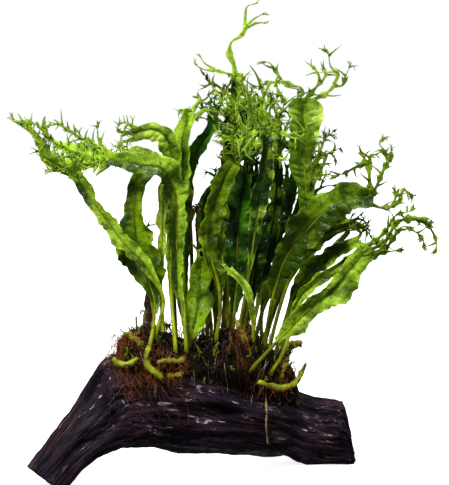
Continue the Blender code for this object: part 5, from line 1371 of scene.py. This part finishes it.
def rusty_tufts(chance):
    """The rusty roots: the left tuft over the limb's shoulder and thinner tufts along the mat."""
    first, last = MAT_SPAN
    strips = Strips()
    for _ in range(60):
        share = chance.uniform(0.29, 0.44)
        angle = chance.uniform(math.radians(38), math.radians(66))
        creep(strips, chance, share, angle, DOWN + chance.uniform(-0.9, 0.7),
              (8, 34), (0.08, 0.15), 0.55, (0.3, 2.6))
    for _ in range(120):
        start = seen(chance.uniform(-57, -38), chance.uniform(58, 69), chance.uniform(-30, -14))
        low = limb_point(chance.uniform(0.27, 0.43), math.radians(chance.uniform(15, 92)), 0.3)
        free_root(strips, chance, start, low, chance.uniform(-5, 6), chance.uniform(0.08, 0.15), 6.5)
    for middle, spread, count in ((0.452, 0.02, 30), (0.61, 0.018, 34), (0.72, 0.02, 10)):
        for _ in range(count):
            share = min(chance.gauss(middle, spread), last - 0.02)
            creep(strips, chance, share, chance.uniform(-0.1, 0.75), DOWN + chance.uniform(-1.2, 1.2),
                  (5, 13), (0.07, 0.15), 0.6, (0.4, 2.6))
    for _ in range(48):
        creep(strips, chance, (first + 0.02, last - 0.03), (-MAT_BEHIND, MAT_FRONT * 0.8), (0, math.tau),
              (7, 18), (0.08, 0.18), 0.5, (0.3, 1.8))
    return strips


def dress_roots(dark, rusty, pale, stubs):
    """Fine roots: a dark tangle, rusty ones in tufts, a few pale hairs, and old stalks' stubs."""
    chance = random.Random(71)
    first, last = MAT_SPAN
    root_piece("dark_roots", "root_mat", dark, dark_tangle(chance))
    root_piece("rusty_roots", "rusty_roots", rusty, rusty_tufts(chance), "root_tuft_left")
    strips = Strips()
    for _ in range(26):
        creep(strips, chance, (first + 0.05, last - 0.04), (MAT_FRONT * 0.5, MAT_FRONT), DOWN + 0.4,
              (6, 15), 0.1, 0.22, (0.3, 1.5))
    root_piece("pale_root_hairs", "rusty_roots", pale, strips)
    strips = Strips()
    for _ in range(70):
        share = chance.uniform(first + 0.02, last - 0.03)
        start = mat_point(share, chance.uniform(0.0, 1.1), -0.8)
        way = Vector((chance.uniform(-0.7, 0.7), chance.uniform(-0.7, 0.1), 1)).normalized()
        sprout(strips, chance, start, way, (2.5, 9), (0.45, 0.95), 0.25)
    root_piece("old_stalk_stubs", "rhizome", stubs, strips)


# The solids of the creeping stems, and the stems that are still smooth and green. The others are
# old and knobby.
STEM_NODES = [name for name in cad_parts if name.startswith("rhizome")]
YOUNG_STEMS = ("left", "left_front", "right_front")


def dress_stem_roots(rusty):
    """Short fine roots that grow from the creeping stems."""
    chance = random.Random(83)
    strips = Strips()
    for name in STEM_NODES:
        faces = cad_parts[name].data.polygons
        for _ in range(46):
            face = faces[chance.randrange(len(faces))]
            start = face.center - face.normal * 0.2 * MM
            way = Vector((chance.uniform(-0.7, 0.7), chance.uniform(-0.7, 0.3), chance.uniform(-1.6, 0.1)))
            sprout(strips, chance, start, (face.normal + way).normalized(), (2.0, 8.0), (0.09, 0.18), 0.35)
    root_piece("stem_roots", "rusty_roots", rusty, strips)


def dress_copy(solid, name, slot, look, levels, swell, scale, depth):
    """A copy of a CAD node's mesh with its loose triangles merged, rounded off and roughened."""
    thing = bpy.data.objects.new(name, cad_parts[solid].data.copy())
    bpy.context.scene.collection.objects.link(thing)
    thing.data.materials.clear()
    close_seams(thing, 0.001 * MM)
    soften(thing, levels)
    roughen(thing, swell, scale, depth)
    finished(thing, slot, look)
    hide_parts(solid)


def roughen(thing, swell, scale, depth):
    """Swells a piece a little and works lumps into its surface. Lengths are in millimetres."""
    moved, places = [], []
    for vertex in thing.data.vertices:
        lump = noise.fractal(vertex.co * scale / MM, 1.0, 2.0, 4)
        moved.append(vertex.co + vertex.normal * (swell + depth * lump) * MM)
        # Each point also gets a colour share for the stem's finish. The share is higher where the surface
        # faces up and on the lumps, so the pieces are painted lighter on top.
        places.append((0.0, 0.0, 0.35 + 0.45 * vertex.normal.z + 0.5 * lump))
    write_places(thing.data, places)
    for vertex, place in zip(thing.data.vertices, moved):
        vertex.co = place


def dress_stems(look, old_look, spur_look, strand_look):
    """Creeping stems, the dead spur and the hanging strand."""
    for name in STEM_NODES:
        place = name.removeprefix("rhizome_")
        young = place in YOUNG_STEMS
        dress_copy(name, "creeping_stem_" + place, "rhizome", look if young else old_look, 3,
                   *((0.2, 0.22, 0.5) if young else (0.1, 0.42, 1.1)))
    dress_copy("driftwood_spur", "dead_spur", "driftwood", spur_look, 3, 0.2, 0.3, 0.8)
    dress_copy("root_strand_right", "hanging_root", "rusty_roots", strand_look, 2, 0.05, 0.5, 0.2)


def dress_croziers(look, carriers):
    """The two young curled fronds."""
    steps = 30
    shares = [k / steps for k in range(steps + 1)]
    ages = [0.2 + 0.8 * k / steps for k in range(steps + 1)]
    for name, (places, radii) in CROZIERS.items():
        strips = Strips()
        route = Route(rooted([seen(*place) for place in places], carriers))
        pairs = [(k / (len(radii) - 1), radius) for k, radius in enumerate(radii)]
        strips.round_stem([route.at(share) for share in shares],
                          [interpolate(pairs, share) * 1.05 * MM for share in shares],
                          0, ages, 8)
        root_piece("young_crozier_" + name, "frond_fresh", look, strips, "crozier_" + name)


# Materials.

def put(tree, socket, value):
    """Gives a socket its value, or links it to another node's output."""
    if isinstance(value, bpy.types.NodeSocket):
        tree.links.new(value, socket)
    else:
        socket.default_value = value


def node(tree, kind, settings=(), **inputs):
    """Adds a node. Settings are its own properties; inputs are values or other nodes' outputs. A
    socket is named by its label, with _ for a space, or by i and its number."""
    made = tree.nodes.new(kind)
    for key, value in dict(settings).items():
        setattr(made, key, value)
    for key, value in inputs.items():
        numbered = key[0] == "i" and key[1:].isdigit()
        put(tree, made.inputs[int(key[1:]) if numbered else key.replace("_", " ")], value)
    return made


def maths(tree, operation, *values):
    """A Math node's result."""
    return node(tree, "ShaderNodeMath", {"operation": operation},
                **{f"i{k}": value for k, value in enumerate(values)}).outputs[0]


def times(tree, first, second):
    """The product of two values."""
    return maths(tree, "MULTIPLY", first, second)


def between(tree, value, low, high, smooth=True):
    """0 below low, 1 above high, and a smooth rise between them."""
    kind = "SMOOTHSTEP" if smooth else "LINEAR"
    made = node(tree, "ShaderNodeMapRange", {"interpolation_type": kind}, i0=value, i1=low, i2=high)
    return made.outputs[0]


def mixed(tree, share, first, second):
    """Two colours mixed by a share."""
    return node(tree, "ShaderNodeMix", {"data_type": "RGBA"}, i0=share, i6=first, i7=second).outputs[2]


def new_group(name, inputs, outputs):
    """An empty shader group with named sockets: (label, first value) for each input."""
    group = bpy.data.node_groups.new(name, "ShaderNodeTree")
    for label, value in inputs:
        socket = group.interface.new_socket(label, in_out="INPUT", socket_type="NodeSocketFloat")
        socket.default_value = value
    for label in outputs:
        group.interface.new_socket(label, in_out="OUTPUT", socket_type="NodeSocketFloat")
    return group, group.nodes.new("NodeGroupInput"), group.nodes.new("NodeGroupOutput")


def use_group(tree, group, **inputs):
    """Adds a shader group with these values and gives its outputs."""
    made = node(tree, "ShaderNodeGroup", {"node_tree": group})
    for key, value in inputs.items():
        made.inputs[key.replace("_", " ")].default_value = value
    return made.outputs


def leaf_veins_group():
    """The leaf's veins, from its own places: side veins, the fine net between them, the rib."""
    group, given, result = new_group("leaf_veins", [("Vein Gap", 4.5), ("Net Scale", 0.62)],
                                     ["Vein", "Net", "Rib", "Youth"])
    place = node(group, "ShaderNodeAttribute", {"attribute_name": "place"}).outputs["Vector"]
    parts = node(group, "ShaderNodeSeparateXYZ", i0=place).outputs
    size = maths(group, "ABSOLUTE", parts[0])
    slant = maths(group, "SUBTRACT", parts[1], times(group, size, VEIN_SLANT))
    turn = maths(group, "DIVIDE", slant, given.outputs["Vein Gap"])
    shifted = maths(group, "ADD", turn, times(group, maths(group, "LESS_THAN", parts[0], 0.0), 0.5))
    saw = maths(group, "ABSOLUTE", maths(group, "SUBTRACT", maths(group, "FRACT", shifted), 0.5))
    vein = between(group, saw, 0.43, 0.5)
    flat = node(group, "ShaderNodeCombineXYZ", i0=parts[0], i1=parts[1]).outputs[0]
    cells = node(group, "ShaderNodeTexVoronoi", {"feature": "DISTANCE_TO_EDGE"}, Vector=flat,
                 Scale=given.outputs["Net Scale"]).outputs["Distance"]
    net = maths(group, "SUBTRACT", 1.0, between(group, cells, 0.0, 0.16))
    rib = maths(group, "SUBTRACT", 1.0, between(group, size, 0.25, 1.1))
    for label, value in (("Vein", vein), ("Net", net), ("Rib", rib), ("Youth", parts[2])):
        group.links.new(value, result.inputs[label])
    return group


def mottling_group():
    """Cloudy variation, darker blotches and wet spots, on the object's own coordinates."""
    group, given, result = new_group("wet_mottling", [("Cloud Scale", 60.0), ("Blotch Scale", 180.0)],
                                     ["Cloud", "Blotch", "Wet", "Grit"])
    spot = node(group, "ShaderNodeTexCoord").outputs["Object"]
    cloud = node(group, "ShaderNodeTexNoise", Vector=spot, Scale=given.outputs["Cloud Scale"], Detail=3.0)
    blotch = node(group, "ShaderNodeTexNoise", Vector=spot, Scale=given.outputs["Blotch Scale"], Detail=4.0,
                  Roughness=0.6)
    wet = node(group, "ShaderNodeTexNoise", Vector=spot, Scale=240.0, Detail=2.0)
    grit = node(group, "ShaderNodeTexNoise", Vector=spot, Scale=1500.0, Detail=3.0)
    for label, made, low, high in (("Cloud", cloud, 0.35, 0.65), ("Blotch", blotch, 0.52, 0.68),
                                   ("Wet", wet, 0.42, 0.6), ("Grit", grit, 0.2, 0.8)):
        group.links.new(between(group, made.outputs["Fac"], low, high), result.inputs[label])
    return group


def finish_of(name, roughness=0.4, coat_roughness=0.1):
    """A new material with its shader and nothing on it yet."""
    look = bpy.data.materials.new(name)
    look.use_nodes = True
    shader = look.node_tree.nodes["Principled BSDF"]
    shader.inputs["Roughness"].default_value = roughness
    shader.inputs["Coat Roughness"].default_value = coat_roughness
    shader.inputs["Metallic"].default_value = 0.0
    return look, look.node_tree, shader


def link(tree, value, shader, socket):
    """Links a value to one of the shader's sockets."""
    tree.links.new(value, shader.inputs[socket])


def bumped(tree, shader, height, strength, distance):
    """Raises the surface by a height of 0 to 1 over a distance in millimetres."""
    bump = node(tree, "ShaderNodeBump", Strength=strength, Distance=distance * MM, Height=height)
    link(tree, bump.outputs["Normal"], shader, "Normal")


def leaf_finish(name, old, young, wet=0.22):
    """A wet, quilted fern leaf: dark where it is old, brighter and yellower towards its crest, with the
    light and shade painted into each blade's youth, and painted shade along the side veins where the
    quilting creases.
    """
    look, tree, shader = finish_of(name + "_leaf", coat_roughness=0.06)
    shader.inputs["Specular IOR Level"].default_value = 0.25
    veins = use_group(tree, GROUPS["veins"], Vein_Gap=VEIN_GAPS[name])
    spots = use_group(tree, GROUPS["mottling"], Cloud_Scale=90.0, Blotch_Scale=300.0)
    age = maths(tree, "ADD", veins["Youth"], maths(tree, "MULTIPLY_ADD", spots["Cloud"], 0.8, -0.36))
    colour = mixed(tree, between(tree, age, 0.0, 1.0, False), (*old, 1), (*young, 1))
    shade = (*(0.35 * part for part in old), 1)
    # The blotches and the fine net are the leaf's own darker marks, and the colour darkens towards the rib.
    # The darkening along the side veins is painted shade: the shadow of the quilted pillows in their
    # creases.
    marks = (spots["Blotch"], 0.6), (veins["Net"], 0.18), (veins["Vein"], 0.25), (veins["Rib"], 0.35)
    for mark, strength in marks:
        colour = mixed(tree, times(tree, mark, strength), colour, shade)
    link(tree, colour, shader, "Base Color")
    link(tree, maths(tree, "MULTIPLY_ADD", spots["Grit"], 0.2, 0.2), shader, "Roughness")
    link(tree, times(tree, spots["Wet"], wet), shader, "Coat Weight")
    height = maths(tree, "SUBTRACT", maths(tree, "MULTIPLY_ADD", spots["Blotch"], 0.6, spots["Wet"]),
                   maths(tree, "MULTIPLY_ADD", veins["Net"], 0.25, times(tree, veins["Vein"], 0.6)))
    bumped(tree, shader, height, 0.5, 0.4)
    return look


def stem_finish(name, low, high, rough=0.35):
    """A stalk, rib or creeping stem: one colour at its foot and another at its end, in patches."""
    look, tree, shader = finish_of(name)
    shader.inputs["Specular IOR Level"].default_value = 0.18
    veins = use_group(tree, GROUPS["veins"])
    spots = use_group(tree, GROUPS["mottling"])
    share = maths(tree, "MULTIPLY_ADD", spots["Cloud"], 0.45, veins["Youth"])
    colour = mixed(tree, between(tree, share, 0.15, 0.9), (*low, 1), (*high, 1))
    dark = tuple(0.3 * part for part in low)
    colour = mixed(tree, times(tree, spots["Blotch"], 0.6), colour, (*dark, 1))
    link(tree, colour, shader, "Base Color")
    link(tree, maths(tree, "MULTIPLY_ADD", spots["Grit"], 0.25, rough - 0.1), shader, "Roughness")
    link(tree, times(tree, spots["Wet"], 0.2), shader, "Coat Weight")
    bumped(tree, shader, maths(tree, "ADD", spots["Grit"], spots["Blotch"]), 0.4, 0.25)
    return look


def wood_finish():
    """Dark, wet driftwood: purple-black with red-brown streaks, finely wrinkled along its grain, with pale
    glints painted into its colour along the trunk.
    """
    look, tree, shader = finish_of("wet_wood", coat_roughness=0.08)
    shader.inputs["Specular IOR Level"].default_value = 0.1
    spots = use_group(tree, GROUPS["mottling"], Cloud_Scale=55.0, Blotch_Scale=120.0)
    place = node(tree, "ShaderNodeAttribute", {"attribute_name": "place"}).outputs["Vector"]

    def streaks(along, across, detail=2.0, rough=0.5):
        stretched = node(tree, "ShaderNodeMapping", Vector=place, Scale=(along, across, across)).outputs[0]
        return node(tree, "ShaderNodeTexNoise", Vector=stretched, Scale=1.0, Detail=detail,
                    Roughness=rough).outputs["Fac"]

    grain = streaks(0.035, 0.26, 5.0, 0.55)
    wrinkles = streaks(0.07, 0.5, 2.5)
    fibres = streaks(0.3, 2.2, 3.0, 0.6)
    specks = streaks(0.8, 2.6)
    lines = streaks(0.05, 0.45, 1.0)
    along = node(tree, "ShaderNodeSeparateXYZ", i0=place).outputs[0]
    trunk = between(tree, along, 42.0, 66.0)
    colour = mixed(tree, between(tree, grain, 0.4, 0.62),
                   (0.0036, 0.002, 0.0056, 1), (0.028, 0.015, 0.03, 1))
    gate = between(tree, streaks(0.035, 0.1), 0.47, 0.62)
    streak = times(tree, between(tree, wrinkles, 0.46, 0.62), gate)
    colour = mixed(tree, times(tree, streak, 0.7), colour, (0.075, 0.022, 0.018, 1))
    # Painted highlights: pale specks in rows along the grain and thin pale lines are glints put into the
    # colour, on top of the coat's own.
    rows = times(tree, between(tree, grain, 0.5, 0.56), between(tree, streaks(0.05, 0.14), 0.53, 0.61))
    pale = times(tree, between(tree, specks, 0.61, 0.66), times(tree, rows, trunk))
    off_line = maths(tree, "ABSOLUTE", maths(tree, "SUBTRACT", lines, 0.5))
    hair = maths(tree, "SUBTRACT", 1.0, between(tree, off_line, 0.0, 0.012))
    hair = times(tree, hair, between(tree, streaks(0.07, 0.2), 0.59, 0.66))
    painted_glints = maths(tree, "MAXIMUM", pale, times(tree, hair, 0.7))
    colour = mixed(tree, times(tree, painted_glints, 0.8), colour, (0.55, 0.50, 0.53, 1))
    link(tree, colour, shader, "Base Color")
    link(tree, maths(tree, "MULTIPLY_ADD", between(tree, fibres, 0.3, 0.7), 0.2, 0.28), shader, "Roughness")
    wet = times(tree, between(tree, wrinkles, 0.42, 0.52), spots["Wet"])
    wet = times(tree, wet, maths(tree, "MULTIPLY_ADD", trunk, 0.8, 0.2))
    link(tree, times(tree, wet, between(tree, grain, 0.4, 0.55)), shader, "Coat Weight")
    height = maths(tree, "MULTIPLY_ADD", fibres, 0.06, maths(tree, "MULTIPLY_ADD", grain, 0.5, wrinkles))
    height = times(tree, height, maths(tree, "MULTIPLY_ADD", trunk, 0.7, 0.3))
    bumped(tree, shader, maths(tree, "MULTIPLY_ADD", specks, 0.1, height), 1.0, 3.2)
    return look


def mat_finish():
    """Packed roots and debris: near black, with brown and orange-brown clumps."""
    look, tree, shader = finish_of("packed_roots", roughness=0.6)
    shader.inputs["Specular IOR Level"].default_value = 0.12
    spots = use_group(tree, GROUPS["mottling"], Cloud_Scale=70.0, Blotch_Scale=300.0)
    colour = mixed(tree, spots["Cloud"], (0.0012, 0.0009, 0.0008, 1), (0.006, 0.004, 0.002, 1))
    colour = mixed(tree, times(tree, spots["Blotch"], 0.3), colour, (0.024, 0.013, 0.004, 1))
    link(tree, colour, shader, "Base Color")
    link(tree, maths(tree, "MULTIPLY_ADD", spots["Grit"], 0.4, 0.35), shader, "Roughness")
    link(tree, times(tree, spots["Wet"], 0.3), shader, "Coat Weight")
    bumped(tree, shader, maths(tree, "ADD", spots["Grit"], spots["Blotch"]), 1.0, 0.8)
    return look


# The studio, in metres.

FLOOR_SIZE = 2.4


def light(name, place, size, power):
    """A soft box that points at the plant's middle."""
    data = bpy.data.lights.new(name, "AREA")
    data.shape = "SQUARE"
    data.size = size
    data.energy = power
    lamp = bpy.data.objects.new(name, data)
    bpy.context.scene.collection.objects.link(lamp)
    lamp.location = place
    lamp.rotation_euler = (Vector((0, 0, 0.1)) - Vector(place)).to_track_quat("-Z", "Y").to_euler()


def set_studio():
    """A pale floor that runs on into a white surround, and soft boxes."""
    def spot(u, v):
        return Vector(((u - 0.5) * FLOOR_SIZE, (v - 0.5) * FLOOR_SIZE, 0.0)), (0, 0, 0)

    floor = add_grid("studio_floor", 4, 4, spot)
    look, tree, shader = finish_of("white_paper", roughness=0.9)
    spots = use_group(tree, GROUPS["mottling"], Cloud_Scale=2.0)
    link(tree, mixed(tree, spots["Cloud"], (0.9, 0.9, 0.9, 1), (0.93, 0.93, 0.93, 1)), shader, "Base Color")
    shader.inputs["Emission Color"].default_value = (1, 1, 1, 1)
    shader.inputs["Emission Strength"].default_value = 0.86
    floor.data.materials.append(look)
    floor.visible_glossy = floor.visible_diffuse = False
    light("key", (-0.5, -0.75, 1.0), 0.32, 16.0)
    light("fill", (0.85, -0.75, 0.5), 0.35, 3.4)
    light("top", (0.2, 0.2, 1.15), 0.35, 9.0)
    light("back", (-0.3, 1.0, 0.6), 0.4, 3.0)
    world = bpy.data.worlds.new("surround")
    world.use_nodes = True
    tree = world.node_tree
    seen_directly = node(tree, "ShaderNodeLightPath").outputs["Is Camera Ray"]
    strength = maths(tree, "MULTIPLY_ADD", seen_directly, 0.9, 0.1)
    tree.nodes["Background"].inputs[0].default_value = (1, 1, 1, 1)
    tree.links.new(strength, tree.nodes["Background"].inputs[1])
    bpy.context.scene.world = world
    bpy.context.scene.view_settings.view_transform = "Standard"


def set_camera():
    """The photograph's view: a little over a metre away, looking ten degrees down."""
    cos, sin = math.cos(VIEW_TILT), math.sin(VIEW_TILT)
    height = VIEW_MIDDLE_UP / (cos - VIEW_MIDDLE_UP * sin / VIEW_DISTANCE)
    target = Vector((-ORIGIN_ACROSS, -ORIGIN_BACK, height))
    data = bpy.data.cameras.new("front_view")
    data.sensor_fit = "VERTICAL"
    data.sensor_height = 36.0
    data.lens = data.sensor_height * VIEW_DISTANCE / VIEW_HEIGHT
    camera = bpy.data.objects.new("front_view", data)
    camera.location = (target + Vector((0, -cos, sin)) * VIEW_DISTANCE) * MM
    camera.rotation_euler = (math.pi / 2 - VIEW_TILT, 0, 0)
    bpy.context.scene.collection.objects.link(camera)
    bpy.context.scene.camera = camera


# All together.

GROUPS = {"veins": leaf_veins_group(), "mottling": mottling_group()}
LEAVES = {
    "bright": leaf_finish("bright", (0.12, 0.24, 0.004), (0.66, 0.95, 0.08)),
    "fresh": leaf_finish("fresh", (0.030, 0.075, 0.002), (0.46, 0.76, 0.035)),
    "deep": leaf_finish("deep", (0.006, 0.030, 0.0015), (0.075, 0.26, 0.005), wet=0.5),
    "olive": leaf_finish("olive", (0.034, 0.078, 0.001), (0.29, 0.50, 0.006), wet=0.06),
    "crown": leaf_finish("crown", (0.009, 0.038, 0.001), (0.62, 0.98, 0.06)),
    "withered": leaf_finish("withered", (0.12, 0.06, 0.012), (0.46, 0.28, 0.05), wet=0.2),
}
RIBS = {
    "bright": stem_finish("bright_stalk", (0.15, 0.19, 0.004), (0.42, 0.52, 0.006)),
    "fresh": stem_finish("fresh_stalk", (0.07, 0.10, 0.002), (0.36, 0.44, 0.005)),
    "deep": stem_finish("deep_stalk", (0.012, 0.022, 0.002), (0.22, 0.25, 0.01)),
    "olive": stem_finish("olive_stalk", (0.06, 0.07, 0.002), (0.32, 0.37, 0.005)),
    "withered": stem_finish("withered_stalk", (0.12, 0.06, 0.015), (0.40, 0.22, 0.04)),
}


def main():
    """Dresses every solid and sets the studio up around them."""
    set_camera()
    carriers = node_tree(["driftwood_limb", "root_mat", *STEM_NODES, "driftwood_spur"])
    dress_limb(wood_finish())
    dress_mat(mat_finish())
    rusty = stem_finish("rusty_root", (0.024, 0.007, 0.003), (0.30, 0.085, 0.018), 0.45)
    dress_roots(stem_finish("dark_root", (0.002, 0.0015, 0.001), (0.018, 0.011, 0.005), 0.4), rusty,
                stem_finish("pale_hair", (0.30, 0.25, 0.18), (0.55, 0.50, 0.42), 0.5),
                stem_finish("old_stub", (0.02, 0.014, 0.003), (0.27, 0.27, 0.012)))
    dress_stem_roots(rusty)
    dress_stems(stem_finish("young_stem", (0.06, 0.05, 0.006), (0.40, 0.46, 0.02)),
                stem_finish("old_stem", (0.016, 0.009, 0.003), (0.30, 0.27, 0.02)),
                stem_finish("dead_wood", (0.004, 0.003, 0.004), (0.055, 0.02, 0.018), 0.5),
                stem_finish("tan_root", (0.30, 0.20, 0.10), (0.42, 0.30, 0.16), 0.5))
    dress_croziers(stem_finish("crozier", (0.06, 0.045, 0.015), (0.16, 0.22, 0.03)), carriers)
    for frond in FRONDS:
        crown = frond.name in CROWNS
        dress_frond(frond, carriers, LEAVES["crown" if crown else frond.tone],
                    RIBS["deep" if crown else frond.tone])
    set_studio()


main()
